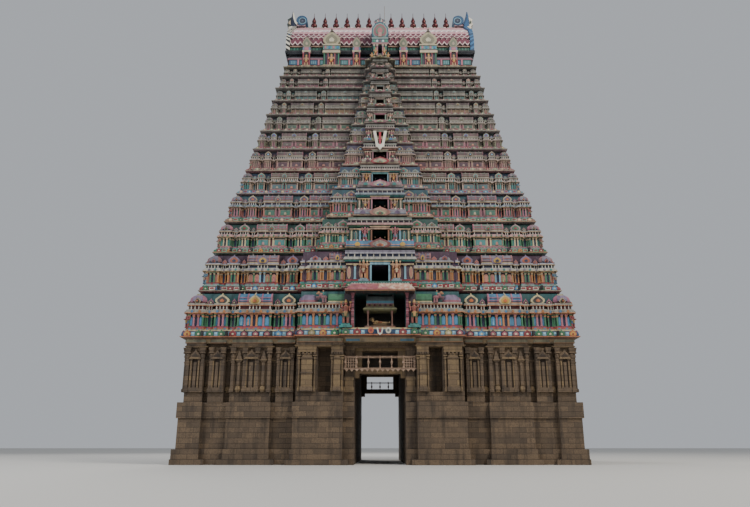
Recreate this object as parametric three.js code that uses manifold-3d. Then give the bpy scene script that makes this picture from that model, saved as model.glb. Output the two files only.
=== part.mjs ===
// A South Indian temple gateway tower (gopuram) at a scale of 1:2.
// A granite base with a gate passage carries twelve hollow brick storeys, a neck and a barrel roof
// with a row of thirteen pot finials. The front faces -Y, and the origin is on the ground at the centre.
// Every size below is a size of the full tower in metres, and MM turns it into model millimetres.

import * as THREE from "three";
import { mergeVertices } from "three/addons/utils/BufferGeometryUtils.js";
import Module from "manifold-3d";

const wasm = await Module();
wasm.setup();

const MM = 500; // model millimetres for one metre of the full tower
const SEAT = 0.0006; // clearance beside a neighbour, which is 0.3 mm in the model

// Storeys: the lower edge and the half width of each cornice, from the first to the thirteenth
const CORNICE_Z = [11.83, 16.64, 20.92, 24.56, 28.09, 31.06, 33.94, 36.5, 38.85, 40.92, 42.78, 44.59, 46.1];
const CORNICE_X = [19.46, 18.34, 17.42, 16.63, 15.75, 15.05, 14.46, 13.87, 13.37, 12.89, 12.57, 12.21, 11.83];
const FIRST_CORNICE_Y = 13.4; // half depth of the first cornice
const SETBACK_RATIO = 0.9; // the front steps back this much for each metre that the side steps in
const STOREYS = CORNICE_Z.length - 1;

// Central bay of each storey: outer and inner half widths, and how far each stands forward
const BAY_OUTER = [7.8, 7.8, 6.0, 5.1, 4.35, 3.65, 3.2, 2.7, 2.3, 1.9, 1.5, 1.3];
const BAY_INNER = [3.5, 3.4, 3.15, 2.4, 2.0, 1.7, 1.5, 1.35, 1.1, 0.95, 0.85, 0.75];
const BAY_FORWARD = [0.7, 1.1, 1.4, 1.5, 1.5, 1.5, 1.5, 1.5, 1.5, 1.5, 1.5, 1.5, 1.5];
const BAY_STEP = 0.5;
const GABLE_OUT = 0.12; // how far a cornice's central gable, and the forehead mark, stand before the cornice
const CANOPY_LEVEL = 1; // the highest cornice without a central gable, where the canopy's roof stands
const GABLE_RISE = 0.14; // how far that gable rises over the floor, as a share of the storey's height
const DOOR_HALF = [2.5, 0.84, 0.8, 0.8, 0.78, 0.73, 0.66, 0.56, 0.45, 0.39, 0.33, 0.31];
const FIRST_DOOR_TOP = 0.9; // top of the lowest doorway, as a share of its storey's height
const SIDE_BAY_SHARE = 0.14; // half width of a side's central bay, as a share of the half depth
const SIDE_BAY_FORWARD = 0.25;
const FULL_STOREYS = 2; // storeys, counted from the lowest, whose small gabled pavilions are modelled too

// Pavilions of a wing, as shares of the half width in from its corner, in the lowest and highest storeys
const CORNER_SHARE = [[0.079], [0.044]];
const OUTER_GABLED = [
  [0.134, 0.206],
  [0.088, 0.128],
];
const LONG = [
  [0.255, 0.433],
  [0.17, 0.382],
];
const INNER_GABLED = [
  [0.487, 0.556],
  [0.428, 0.473],
];
const WING_CURVE = 1.8; // how fast the shares change with height
const BAY_GAP = 0.3; // between the last pavilion and the central bay

// Layers of a storey, as shares of its height
const CORNICE_TOP = 0.16;
const WALL_TOP = 0.5;
const EAVE_TOP = 0.6;
const NECK_TOP = 0.74;
const ROOF_SHOULDER = 0.83;
const ROOF_TOP = 0.93;
const SOFFIT = 0.94;
const DOOR_TOP = 0.58;

// Distances in from a cornice's lower edge
const CORNICE_SLOPE = 0.42;
const SOFFIT_IN = 0.72;
const FACE_IN = 0.6;
const RECESS_IN = { x: 1.05, y: 1.12 }; // unlike, so that no corner lies under a corner dome's hip
const WALL_IN = 2.7;
const EAVE_OUT = 0.16;

// Stone base: bays are spans from the axis along the front, and along the side
const BASE_X = 18.75;
const BASE_Y = 12.75;
const BASE_RECESS = 0.5;
const BASE_FRONT_BAYS = [
  [8.3, 10.0],
  [10.5, 14.4],
  [15.0, 16.5],
];
const WIDE_BAYS = BASE_FRONT_BAYS.slice(1, 2); // the only ones that the plinth and the entablature follow
const BASE_CORNER = 1.75;
const BASE_SIDE_BAY = 3.2;
const PLINTH_LEVELS = [
  { z0: 0, z1: 1.4, out: 0.6 },
  { z0: 1.4, z1: 4.2, out: 0.3 },
  { z0: 4.2, z1: 5.65, out: 0.45 },
];
const BASE_WALL_TOP = 10.86;
const ENTABLATURE_TOP = 11.3;
const PORCH_HALF = 8.0;
const PORCH_FORWARD = 0.75;
const PASSAGE_HALF = 2.45;
const GATE_BAY_HALF = 3.5;
const GATE_THICK = 1.3;
const GATE_Z = 8.4;
const CORBEL = [0.45, 0.4];
const WINDOW_HALF = 1.75;
const WINDOW_Z = [8.9, 10.6];
const NICHE_X = [4.72, 5.98];
const NICHE_DEEP = 1.2;
const NICHE_FOOT = 6.6;
const RAIL_Z = [8.72, 10.05];
const RAIL_THICK = 0.16;
const RAIL_POSTS = 7;

// Canopy and small shrine at the lowest doorway
const CANOPY_HALF = [3.4, 2.8]; // at the eave, and at the top
const CANOPY_OUT = 1.2;
const CANOPY_Z = [16.05, 16.18, 17.0]; // underside, top of the eave's edge, and top
const CANOPY_CREST = [0.2, 0.34]; // the top's span out from the bay's face, clear of the second cornice
const CANOPY_BACK_Z = 16.45; // top of the part that reaches in below the second cornice
const POST_WIDE = 0.32;
const SHRINE_HALF = [1.5, 0.75];
const SHRINE_BACK = 0.95; // from the bay's face to the middle of the shrine
const SHRINE_BASE = 0.28;
const SHRINE_POST = 0.12;
const SHRINE_EAVE_Z = 14.35;
const SHRINE_TOP = 15.65;

// Neck, roof and finials
const VEDI_TOP = 47.75;
const VEDI_X = 11.35;
const VEDI_Y = 6.0;
const NECK_X = 11.1;
const NECK_Y = 5.2;
const NECK_WALL = 1.0;
const EAVE_Z = 48.6;
const EAVE_THICK = 0.25;
const EAVE_X = 11.8;
const EAVE_Y = 5.9;
const ROOF_X = 11.3;
const ROOF_THICK = 0.5;
const ROOF_SECTION = [
  [5.45, 0],
  [5.65, 1.2],
  [5.3, 2.5],
  [4.4, 3.75],
  [3.1, 4.8],
  [1.6, 6.05],
  [0.35, 7.15],
];
const DORMERS = [
  { x: 2.9, half: 0.47, top: 50.9 },
  { x: 6.0, half: 1.0, top: 51.7 },
  { x: 9.1, half: 0.47, top: 50.9 },
];
const DORMER_FACE = 6.1;
const CENTRE_DORMER_FACE = 7.7;
const CENTRE_DORMER = [
  [0.8, 48.4],
  [1.0, 48.5],
  [0.96, 49.25],
  [0.8, 49.35],
  [1.05, 49.95],
  [0.98, 50.7],
  [0.58, 51.4],
  [0.64, 51.9],
];
const CENTRE_DORMER_TOP = 52.25;
const CENTRE_DOOR = { half: 0.24, z0: 47.2, z1: 48.33 };
const GABLE_THICK = 0.45;
const GABLE_RIM = 0.3;
const CREST_HALF = 0.75;
const CREST = [
  [12.15, 55.7],
  [12.6, 56.4],
  [12.6, 57.4],
  [12.1, 57.9],
  [11.98, 58.85],
  [11.84, 58.85],
  [11.6, 57.7],
  [11.3, 56.75],
];
const CURL = { x: 10.6, z: 57.03, radius: 0.76 };
const RIDGE_HALF = 0.35;
const RIDGE_THICK = 0.25;
const FINIALS = 13;
const FINIAL_STEP = 1.5;
const FINIAL_PROFILE = [
  [0, -0.05],
  [0.26, -0.05],
  [0.42, 0.3],
  [0.15, 0.75],
  [0.27, 1.0],
  [0.06, 1.6],
  [0, 2.4],
];
const ROD = { x: 0.6, radius: 0.04, top: 59.8 };

// Traditional forehead mark hung over the sixth and seventh doorways
const MARK_HALF = 0.75;
const MARK_RISE = 2.3;
const MARK_DROP = 0.5;
const MARK_THICK = 0.12;

/** A closed geometry as a solid for joining and cutting. */
function solid(geometry) {
  const bare = geometry.clone();
  bare.deleteAttribute("normal");
  bare.deleteAttribute("uv");
  const merged = mergeVertices(bare, 1e-5);
  return new wasm.Manifold(
    new wasm.Mesh({
      numProp: 3,
      vertProperties: new Float32Array(merged.attributes.position.array),
      triVerts: new Uint32Array(merged.index.array),
    }),
  );
}

/** All the solids of a list joined to one. */
function join(solids) {
  return solids.reduce((whole, next) => whole.add(next));
}

/** A block between two corners. */
function block([x0, y0, z0], [x1, y1, z1]) {
  const box = new THREE.BoxGeometry(x1 - x0, y1 - y0, z1 - z0);
  box.translate((x0 + x1) / 2, (y0 + y1) / 2, (z0 + z1) / 2);
  return solid(box);
}

/** A block centred on the tower's axis. */
function centred(halfX, halfY, z0, z1) {
  return block([-halfX, -halfY, z0], [halfX, halfY, z1]);
}

/** An outline of points, as a shape. */
function shapeOf(points) {
  return new THREE.Shape(points.map(([x, y]) => new THREE.Vector2(x, y)));
}

/** An outline in plan raised from z0 to z1. When a second outline is given, the top takes its points. */
function raised(points, z0, z1, topPoints = points) {
  const geometry = new THREE.ExtrudeGeometry(shapeOf(points), { depth: z1 - z0, bevelEnabled: false });
  const position = geometry.attributes.position;
  for (let i = 0; i < position.count; i += 1) {
    if (position.getZ(i) < (z1 - z0) / 2) continue;
    const corner = points.findIndex(
      ([x, y]) => Math.hypot(x - position.getX(i), y - position.getY(i)) < 1e-4,
    );
    position.setXY(i, topPoints[corner][0], topPoints[corner][1]);
  }
  geometry.translate(0, 0, z0);
  return solid(geometry);
}

/** An outline of [x, z] points, run along Y. */
function alongY(points, y0, y1) {
  const geometry = new THREE.ExtrudeGeometry(shapeOf(points), { depth: y1 - y0, bevelEnabled: false });
  geometry.rotateX(Math.PI / 2);
  geometry.translate(0, y1, 0);
  return solid(geometry);
}

/** An outline of [y, z] points, run along X. */
function alongX(points, x0, x1) {
  const geometry = new THREE.ExtrudeGeometry(shapeOf(points), { depth: x1 - x0, bevelEnabled: false });
  geometry.rotateX(Math.PI / 2);
  geometry.rotateZ(Math.PI / 2);
  geometry.translate(x0, 0, 0);
  return solid(geometry);
}

const tower = new THREE.Group();

/** Adds a solid as a named mesh of the tower. */
function piece(name, shape, material) {
  const mesh = shape.getMesh();
  const geometry = new THREE.BufferGeometry();
  const places = new Float32Array(mesh.numVert * 3);
  for (let i = 0; i < places.length; i += 1) {
    places[i] = mesh.vertProperties[i] * MM;
  }
  geometry.setAttribute("position", new THREE.BufferAttribute(places, 3));
  geometry.setIndex(new THREE.BufferAttribute(new Uint32Array(mesh.triVerts), 1));
  geometry.computeVertexNormals();
  const node = new THREE.Mesh(geometry, material);
  node.name = name;
  tower.add(node);
}

const granite = new THREE.MeshStandardMaterial({ color: 0x6d5a45, roughness: 0.95, metalness: 0 });
const timber = new THREE.MeshStandardMaterial({ color: 0x96604a, roughness: 0.8, metalness: 0 });
const stucco = new THREE.MeshStandardMaterial({ color: 0x8f6a60, roughness: 0.8, metalness: 0 });
const corniceStucco = new THREE.MeshStandardMaterial({ color: 0x4b8f86, roughness: 0.75, metalness: 0 });
const roofStucco = new THREE.MeshStandardMaterial({ color: 0xb08a8c, roughness: 0.7, metalness: 0 });
const blueStucco = new THREE.MeshStandardMaterial({ color: 0x2f6a96, roughness: 0.7, metalness: 0 });
const tile = new THREE.MeshStandardMaterial({ color: 0xd98f7c, roughness: 0.7, metalness: 0 });
const copper = new THREE.MeshStandardMaterial({ color: 0x5d1f1c, roughness: 0.4, metalness: 0.9 });
const markPaint = new THREE.MeshStandardMaterial({ color: 0xd8d8d2, roughness: 0.5, metalness: 0 });
const steel = new THREE.MeshStandardMaterial({ color: 0x8a8a88, roughness: 0.4, metalness: 1 });

/** Half depth of a cornice, which steps back with its half width. */
function corniceY(level) {
  return FIRST_CORNICE_Y - SETBACK_RATIO * (CORNICE_X[0] - CORNICE_X[level]);
}

/** A storey's height, from one cornice to the next. */
function storeyHeight(level) {
  return CORNICE_Z[level + 1] - CORNICE_Z[level];
}

/** A rectangle with a stepped bay forward at the front and at the back, drawn in by an inset. */
function towerOutline(level, inset) {
  const storey = Math.min(level, STOREYS - 1);
  const x = CORNICE_X[level] - inset;
  const y = corniceY(level) - inset;
  const forward = BAY_FORWARD[level];
  const outer = BAY_OUTER[storey] + 0.5 - inset / 2;
  const inner = BAY_INNER[storey] + 0.4 - inset / 2;
  const front = [
    [-x, -y],
    [-outer, -y],
    [-outer, -y - forward],
    [-inner, -y - forward],
    [-inner, -y - forward - BAY_STEP],
    [inner, -y - forward - BAY_STEP],
    [inner, -y - forward],
    [outer, -y - forward],
    [outer, -y],
    [x, -y],
  ];
  return [...front, ...front.map(([px, py]) => [-px, -py])];
}

/** Outline of a horseshoe gable that stands on a level line, as [across, up] points. */
function horseshoe(half, foot, top) {
  const rise = top - foot;
  return [
    [-half * 0.8, foot],
    [half * 0.8, foot],
    [half, foot + rise * 0.35],
    [half * 0.62, foot + rise * 0.7],
    [0, top],
    [-half * 0.62, foot + rise * 0.7],
    [-half, foot + rise * 0.35],
  ];
}

/** A bay gable in front of the wall, at the front for side -1 and at the back for side 1. */
function bayGable(half, foot, top, face, depth, side) {
  const near = side * face;
  const far = side * (face - depth);
  return alongY(horseshoe(half, foot, top), Math.min(near, far), Math.max(near, far));
}

// Cornices: each is a floor slab with its overhanging moulded edge, and carries the next storey
for (let level = 0; level <= STOREYS; level += 1) {
  const below = level === 0 ? 0.53 : storeyHeight(level - 1) * (1 - SOFFIT);
  const height = storeyHeight(Math.min(level, STOREYS - 1)) * CORNICE_TOP;
  const z = CORNICE_Z[level];
  const parts = [
    raised(towerOutline(level, SOFFIT_IN), z - below, z),
    raised(towerOutline(level, 0), z, z + height, towerOutline(level, CORNICE_SLOPE)),
  ];
  if (level > CANOPY_LEVEL) {
    const face = corniceY(level) + BAY_FORWARD[level] + BAY_STEP + GABLE_OUT;
    const half = DOOR_HALF[Math.min(level, STOREYS - 1)] + 0.3;
    const top = z + height + GABLE_RISE * storeyHeight(Math.min(level, STOREYS - 1));
    for (const side of [-1, 1]) {
      parts.push(bayGable(half, z - 0.05, top, face, 0.5, side));
    }
  }
  piece(`cornice_${String(level + 1).padStart(2, "0")}`, join(parts), corniceStucco);
}

/** The shares that a pavilion takes in a storey, between its lowest and highest ones. */
function wingShares([lowest, highest], level) {
  const climb = 1 - Math.max(0, 1 - level / (STOREYS - 2)) ** WING_CURVE;
  return lowest.map((share, i) => share + climb * (highest[i] - share));
}

/** Pavilions along one edge, between its corner pavilion and its central bay, on the positive side. */
function edgeBays(level, half, centreHalf) {
  const wide = CORNICE_X[level] - FACE_IN;
  const last = wide * wingShares(INNER_GABLED, level)[1];
  const fit = Math.min(1, (half - centreHalf - BAY_GAP) / (last + BAY_GAP));
  const span = (shares) => wingShares(shares, level).map((share) => half - fit * wide * share).reverse();
  return [
    { kind: "gabled", span: span(OUTER_GABLED) },
    { kind: "long", span: span(LONG) },
    { kind: "gabled", span: span(INNER_GABLED) },
    { kind: "second long", span: [centreHalf + BAY_GAP / 2, half - fit * last - BAY_GAP / 2] },
  ];
}

/** A long pavilion standing forward of a wall along X: wall, eave and barrel roof in one section. */
function longPavilion([x0, x1], face, recess, { z, h }, side) {
  const section = [
    [0, z + h * CORNICE_TOP],
    [0, z + h * WALL_TOP],
    [EAVE_OUT, z + h * WALL_TOP],
    [-0.06, z + h * EAVE_TOP],
    [0, z + h * ROOF_SHOULDER],
    [recess - face - 0.2, z + h * ROOF_TOP],
    [recess - face - 0.2, z + h * CORNICE_TOP],
  ].map(([out, up]) => [side * (face + out), up]);
  return alongX(section, x0, x1);
}

/** A gabled pavilion, narrower: its horseshoe gable rises over the eave. */
function gabledPavilion([x0, x1], face, recess, { z, h }, side) {
  const half = (x1 - x0) / 2;
  const middle = (x0 + x1) / 2;
  const outline = [
    [-half * 0.9, z + h * CORNICE_TOP],
    [half * 0.9, z + h * CORNICE_TOP],
    [half * 0.9, z + h * EAVE_TOP],
    [half, z + h * NECK_TOP],
    [half * 0.62, z + h * ROOF_SHOULDER],
    [0, z + h * ROOF_TOP],
    [-half * 0.62, z + h * ROOF_SHOULDER],
    [-half, z + h * NECK_TOP],
    [-half * 0.9, z + h * EAVE_TOP],
  ].map(([u, v]) => [u + middle, v]);
  const near = side * (face - 0.12);
  const far = side * (recess - 0.2);
  return alongY(outline, Math.min(near, far), Math.max(near, far));
}

/** Corner pavilion: a square body, an eave, a neck and a four-sided dome, turned from one profile. */
function cornerPavilion(x, y, size, { z, h }, signX, signY) {
  const half = size / 2;
  const profile = [
    [0, z + h * CORNICE_TOP],
    [half, z + h * CORNICE_TOP],
    [half, z + h * WALL_TOP],
    [half + EAVE_OUT, z + h * WALL_TOP],
    [half - 0.1, z + h * EAVE_TOP],
    [half * 0.85, z + h * ROOF_SHOULDER],
    [half * 0.25, z + h * ROOF_TOP],
    [0, z + h * ROOF_TOP],
  ].map(([r, up]) => new THREE.Vector2(r * Math.SQRT2, up));
  const dome = new THREE.LatheGeometry(profile, 4);
  dome.rotateX(Math.PI / 2);
  dome.rotateZ(Math.PI / 4);
  dome.translate(signX * (x - half), signY * (y - half), 0);
  return solid(dome);
}

// Storeys: a ring of thick wall with its row of pavilions, and a doorway at the front and at the back
for (let level = 0; level < STOREYS; level += 1) {
  const z = CORNICE_Z[level];
  const h = storeyHeight(level);
  const storey = { z, h };
  const x = CORNICE_X[level];
  const y = corniceY(level);
  const floor = z + h * CORNICE_TOP;
  const ceiling = z + h * SOFFIT;
  const forward = BAY_FORWARD[level];
  const parts = [
    centred(x - RECESS_IN.x, y - RECESS_IN.y, floor, ceiling),
    centred(BAY_OUTER[level], y - FACE_IN + forward - 0.15, floor, ceiling),
    centred(BAY_INNER[level], y - FACE_IN + forward + BAY_STEP - 0.2, floor, ceiling),
    centred(BAY_OUTER[level] + EAVE_OUT, y - FACE_IN + forward, z + h * WALL_TOP, z + h * EAVE_TOP),
  ];
  const corner = wingShares(CORNER_SHARE, level)[0] * (x - FACE_IN);
  for (const signX of [-1, 1]) {
    for (const signY of [-1, 1]) {
      parts.push(cornerPavilion(x - FACE_IN, y - FACE_IN, corner, storey, signX, signY));
    }
  }
  const sideCentre = SIDE_BAY_SHARE * y;
  const edges = [
    { bays: edgeBays(level, x - FACE_IN, BAY_OUTER[level]), half: y, recess: RECESS_IN.y, turn: 0 },
    { bays: edgeBays(level, y - FACE_IN, sideCentre), half: x, recess: RECESS_IN.x, turn: 90 },
  ];
  for (const { bays, half, recess, turn } of edges) {
    const shown = ({ kind }) =>
      level < FULL_STOREYS ? kind !== "second long" : kind !== "gabled" && turn === 0;
    for (const { kind, span } of bays.filter(shown)) {
      const make = kind === "gabled" ? gabledPavilion : longPavilion;
      for (const side of [-1, 1]) {
        for (const [from, to] of [span, [-span[1], -span[0]]]) {
          const pavilion = make([from, to], half - FACE_IN, half - recess, storey, side);
          parts.push(pavilion.rotate([0, 0, turn]));
        }
      }
    }
  }
  for (const side of [-1, 1]) {
    const centre = longPavilion(
      [-sideCentre, sideCentre],
      x - FACE_IN + SIDE_BAY_FORWARD,
      x - RECESS_IN.x,
      storey,
      side,
    );
    parts.push(centre.rotate([0, 0, 90]));
  }
  const room = centred(x - WALL_IN, y - WALL_IN, floor - 1, ceiling + 1);
  const doorTop = z + h * (level === 0 ? FIRST_DOOR_TOP : DOOR_TOP);
  const doors = centred(DOOR_HALF[level], y + 3, floor - 1, doorTop);
  const walls = join(parts).subtract(room).subtract(doors);
  piece(`storey_${String(level + 1).padStart(2, "0")}_walls`, walls, stucco);
}

// Stone base: two flanks of solid masonry with the gate passage between them

/** A flank's mass between two levels on the side of signX, with bays that stand forward by BASE_RECESS. */
function flank(signX, out, z0, z1, frontBays) {
  const across = (from, to, halfY) => {
    const xs = [signX * from, signX * to];
    return block([Math.min(...xs), -halfY, z0], [Math.max(...xs), halfY, z1]);
  };
  const recess = BASE_Y - BASE_RECESS + out;
  const parts = [
    across(PASSAGE_HALF, BASE_X - BASE_RECESS + out, recess),
    across(PASSAGE_HALF, PORCH_HALF + out / 2, BASE_Y + out),
    across(GATE_BAY_HALF, PORCH_HALF + out / 2, BASE_Y + PORCH_FORWARD + out),
    across(PASSAGE_HALF, BASE_X + out, BASE_SIDE_BAY + out / 2),
  ];
  for (const [from, to] of frontBays) {
    parts.push(across(from - out / 3, to + out / 3, BASE_Y + out));
  }
  for (const signY of [-1, 1]) {
    const xs = [signX * (BASE_X + out), signX * (BASE_X - BASE_CORNER - out / 3)];
    const ys = [signY * (BASE_Y + out), signY * (BASE_Y - BASE_CORNER - out / 3)];
    parts.push(block([Math.min(...xs), Math.min(...ys), z0], [Math.max(...xs), Math.max(...ys), z1]));
  }
  return join(parts);
}

for (const [name, signX] of [
  ["left", -1],
  ["right", 1],
]) {
  const courses = PLINTH_LEVELS.map(({ z0, z1, out }) => flank(signX, out, z0, z1, WIDE_BAYS));
  piece(`plinth_${name}`, join(courses), granite);
  const porchFace = BASE_Y + PORCH_FORWARD;
  const niches = [-1, 1].map((signY) => {
    const xs = NICHE_X.map((x) => signX * x);
    const ys = [signY * (porchFace - NICHE_DEEP), signY * (porchFace + 1)];
    const top = BASE_WALL_TOP + 1;
    return block([Math.min(...xs), Math.min(...ys), NICHE_FOOT], [Math.max(...xs), Math.max(...ys), top]);
  });
  const wall = flank(signX, 0, PLINTH_LEVELS.at(-1).z1, BASE_WALL_TOP, BASE_FRONT_BAYS);
  piece(`base_wall_${name}`, wall.subtract(join(niches)), granite);
}

const entablature = join([
  flank(-1, 0.12, BASE_WALL_TOP, ENTABLATURE_TOP, WIDE_BAYS),
  flank(1, 0.12, BASE_WALL_TOP, ENTABLATURE_TOP, WIDE_BAYS),
  centred(GATE_BAY_HALF + 1, BASE_Y + 0.12, BASE_WALL_TOP, ENTABLATURE_TOP),
]);
piece("base_entablature", entablature, granite);

// Gate: a lintel on corbels across the passage, with a window over it and a timber rail before it
for (const [name, side] of [
  ["front", -1],
  ["back", 1],
]) {
  const span = (near, far, x0, x1, z0, z1) =>
    block([x0, Math.min(side * near, side * far), z0], [x1, Math.max(side * near, side * far), z1]);
  const wide = PASSAGE_HALF - SEAT;
  const face = BASE_Y - 0.2;
  const back = face - GATE_THICK;
  const [corbelWide, corbelHigh] = CORBEL;
  const gate = join([
    span(face, back, -wide, wide, GATE_Z, BASE_WALL_TOP),
    span(face, back, -wide, -wide + corbelWide, GATE_Z - corbelHigh, GATE_Z),
    span(face, back, wide - corbelWide, wide, GATE_Z - corbelHigh, GATE_Z),
  ]);
  const gateWindow = span(face + 1, back - 1, -WINDOW_HALF, WINDOW_HALF, WINDOW_Z[0], WINDOW_Z[1]);
  piece(`gate_lintel_${name}`, gate.subtract(gateWindow), granite);

  const railHalf = GATE_BAY_HALF - SEAT;
  const railFace = BASE_Y + PORCH_FORWARD - 0.1;
  const rails = [
    span(railFace, railFace - RAIL_THICK, -railHalf, railHalf, RAIL_Z[0], RAIL_Z[0] + RAIL_THICK),
    span(railFace, railFace - RAIL_THICK, -railHalf, railHalf, RAIL_Z[1] - RAIL_THICK, RAIL_Z[1]),
  ];
  for (let i = 0; i < RAIL_POSTS; i += 1) {
    const x = (railHalf - RAIL_THICK / 2) * ((2 * i) / (RAIL_POSTS - 1) - 1);
    rails.push(span(railFace, railFace - RAIL_THICK, x - RAIL_THICK / 2, x + RAIL_THICK / 2, ...RAIL_Z));
  }
  piece(`gate_rail_${name}`, join(rails), timber);
}

// Hipped canopy on two posts over the lowest doorway, at the front and at the back
const firstFloor = CORNICE_Z[0] + storeyHeight(0) * CORNICE_TOP;
const bayFace = FIRST_CORNICE_Y - FACE_IN + BAY_FORWARD[0] + BAY_STEP - 0.2;
const [canopyFoot, canopyEdge, canopyTop] = CANOPY_Z;
const [eaveHalf, crestHalf] = CANOPY_HALF;
const postTop = canopyFoot + 0.05;
for (const [name, side] of [
  ["front", -1],
  ["back", 1],
]) {
  const plan = (half, near, far) => {
    const ys = [side * (bayFace + near), side * (bayFace + far)].sort((a, b) => a - b);
    return [[-half, ys[0]], [half, ys[0]], [half, ys[1]], [-half, ys[1]]];
  };
  const eave = plan(eaveHalf, 0, CANOPY_OUT);
  const crest = plan(crestHalf, 0, CANOPY_CREST[1]);
  const behind = raised(plan(eaveHalf, -1, CANOPY_CREST[0]), CANOPY_BACK_Z, canopyTop + 1);
  const roof = raised(eave, canopyEdge, canopyTop, crest).subtract(behind);
  const parts = [roof, raised(eave, canopyFoot, canopyEdge)];
  for (const signX of [-1, 1]) {
    const xs = [signX * DOOR_HALF[0], signX * (DOOR_HALF[0] + POST_WIDE)];
    const ys = [side * bayFace, side * (bayFace + POST_WIDE)];
    parts.push(
      block([Math.min(...xs), Math.min(...ys), firstFloor], [Math.max(...xs), Math.max(...ys), postTop]),
    );
  }
  piece(`door_canopy_${name}`, join(parts), tile);
}

// Small shrine inside the front doorway: a base, four posts, an eave and a barrel roof
const shrineY = -(bayFace - SHRINE_BACK);
const [shrineX, shrineDeep] = SHRINE_HALF;
const shrineBlock = (halfX, halfY, z0, z1) => centred(halfX, halfY, z0, z1).translate([0, shrineY, 0]);
const shrineRoof = [
  [shrineDeep * 0.9, SHRINE_EAVE_Z + 0.2],
  [shrineDeep * 0.95, SHRINE_EAVE_Z + 0.6],
  [shrineDeep * 0.5, SHRINE_TOP - 0.15],
  [0, SHRINE_TOP],
  [-shrineDeep * 0.5, SHRINE_TOP - 0.15],
  [-shrineDeep * 0.95, SHRINE_EAVE_Z + 0.6],
  [-shrineDeep * 0.9, SHRINE_EAVE_Z + 0.2],
].map(([y, z]) => [y + shrineY, z]);
const shrineParts = [
  shrineBlock(shrineX, shrineDeep, firstFloor, firstFloor + SHRINE_BASE),
  shrineBlock(shrineX + 0.15, shrineDeep + 0.12, SHRINE_EAVE_Z, SHRINE_EAVE_Z + 0.2),
  alongX(shrineRoof, -shrineX * 0.9, shrineX * 0.9),
];
for (const signX of [-1, 1]) {
  for (const signY of [-1, 1]) {
    const post = centred(SHRINE_POST / 2, SHRINE_POST / 2, firstFloor, SHRINE_EAVE_Z + 0.1);
    const x = signX * (shrineX - 0.32);
    shrineParts.push(post.translate([x, shrineY + signY * (shrineDeep - 0.12), 0]));
  }
}
piece("doorway_shrine", join(shrineParts), blueStucco);

/** A rounded form of the given half sizes, for the parts of a figure. */
function rounded([halfX, halfY, halfZ], [x, y, z]) {
  const ball = new THREE.SphereGeometry(1, 8, 6);
  ball.scale(halfX, halfY, halfZ);
  ball.translate(x, y, z);
  return solid(ball);
}

const couch = firstFloor + SHRINE_BASE + SEAT;
const figure = join([
  block([-1.05, shrineY - 0.35, couch], [1.05, shrineY + 0.35, couch + 0.22]),
  rounded([0.72, 0.26, 0.22], [0.12, shrineY, couch + 0.34]),
  rounded([0.2, 0.2, 0.24], [-0.72, shrineY, couch + 0.42]),
]);
piece("reclining_figure", figure, stucco);

// Neck: a moulded platform and a recessed wall, a hollow ring with the lower halves of the dormers
const vediFloor = CORNICE_Z[STOREYS] + storeyHeight(STOREYS - 1) * CORNICE_TOP;
const neckParts = [
  centred(VEDI_X, VEDI_Y, vediFloor, VEDI_TOP),
  centred(NECK_X, NECK_Y, vediFloor, EAVE_Z),
];
for (const { x, half } of DORMERS) {
  for (const signX of [-1, 1]) {
    const stem = centred(half, DORMER_FACE, vediFloor, EAVE_Z);
    neckParts.push(stem.translate([signX * x, 0, 0]));
  }
}
const neckRoom = centred(NECK_X - NECK_WALL, NECK_Y - NECK_WALL, 0, EAVE_Z + 1);
const centreDoor = centred(CENTRE_DOOR.half, 20, CENTRE_DOOR.z0, CENTRE_DOOR.z1);
piece("neck_walls", join(neckParts).subtract(neckRoom).subtract(centreDoor), stucco);
piece("roof_floor", centred(EAVE_X, EAVE_Y, EAVE_Z, EAVE_Z + EAVE_THICK), corniceStucco);

// Barrel roof: a keel-shaped shell with its dormer gables, open at both ends for the end gables
const roofFoot = EAVE_Z + EAVE_THICK;
const mirroredSection = (section) => [
  ...section,
  ...[...section].reverse().map(([y, z]) => [-y, z]),
];
const outerSection = ROOF_SECTION.map(([y, z]) => [y, z + roofFoot]);
const innerSection = ROOF_SECTION.slice(0, -1).map(([y, z]) => [
  y - ROOF_THICK,
  Math.max(roofFoot - 1, z + roofFoot - (z > 4 ? ROOF_THICK * 0.7 : 0)),
]);
innerSection[0][1] = roofFoot - 1;
const shell = alongX(mirroredSection(outerSection), -ROOF_X, ROOF_X);
const roofParts = [shell];
for (const { x, half, top } of DORMERS) {
  for (const signX of [-1, 1]) {
    const outline = horseshoe(half * 1.1, roofFoot, top).map(([u, v]) => [u + signX * x, v]);
    roofParts.push(alongY(outline, -DORMER_FACE, DORMER_FACE));
  }
}
const attic = alongX(mirroredSection(innerSection), -ROOF_X - 1, ROOF_X + 1);
piece("roof_vault", join(roofParts).subtract(attic), roofStucco);

// Central dormers: tall niches that stand on the top cornice before the roof
const dormerOutline = [[CENTRE_DORMER[0][0], vediFloor], ...CENTRE_DORMER];
const dormerPoints = [
  ...dormerOutline,
  [0, CENTRE_DORMER_TOP],
  ...dormerOutline.reverse().map(([x, z]) => [-x, z]),
];
for (const [name, side] of [
  ["front", -1],
  ["back", 1],
]) {
  const ys = [side * VEDI_Y, side * CENTRE_DORMER_FACE];
  const dormer = alongY(dormerPoints, Math.min(...ys), Math.max(...ys));
  piece(`centre_dormer_${name}`, dormer.subtract(centreDoor), stucco);
}

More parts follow.
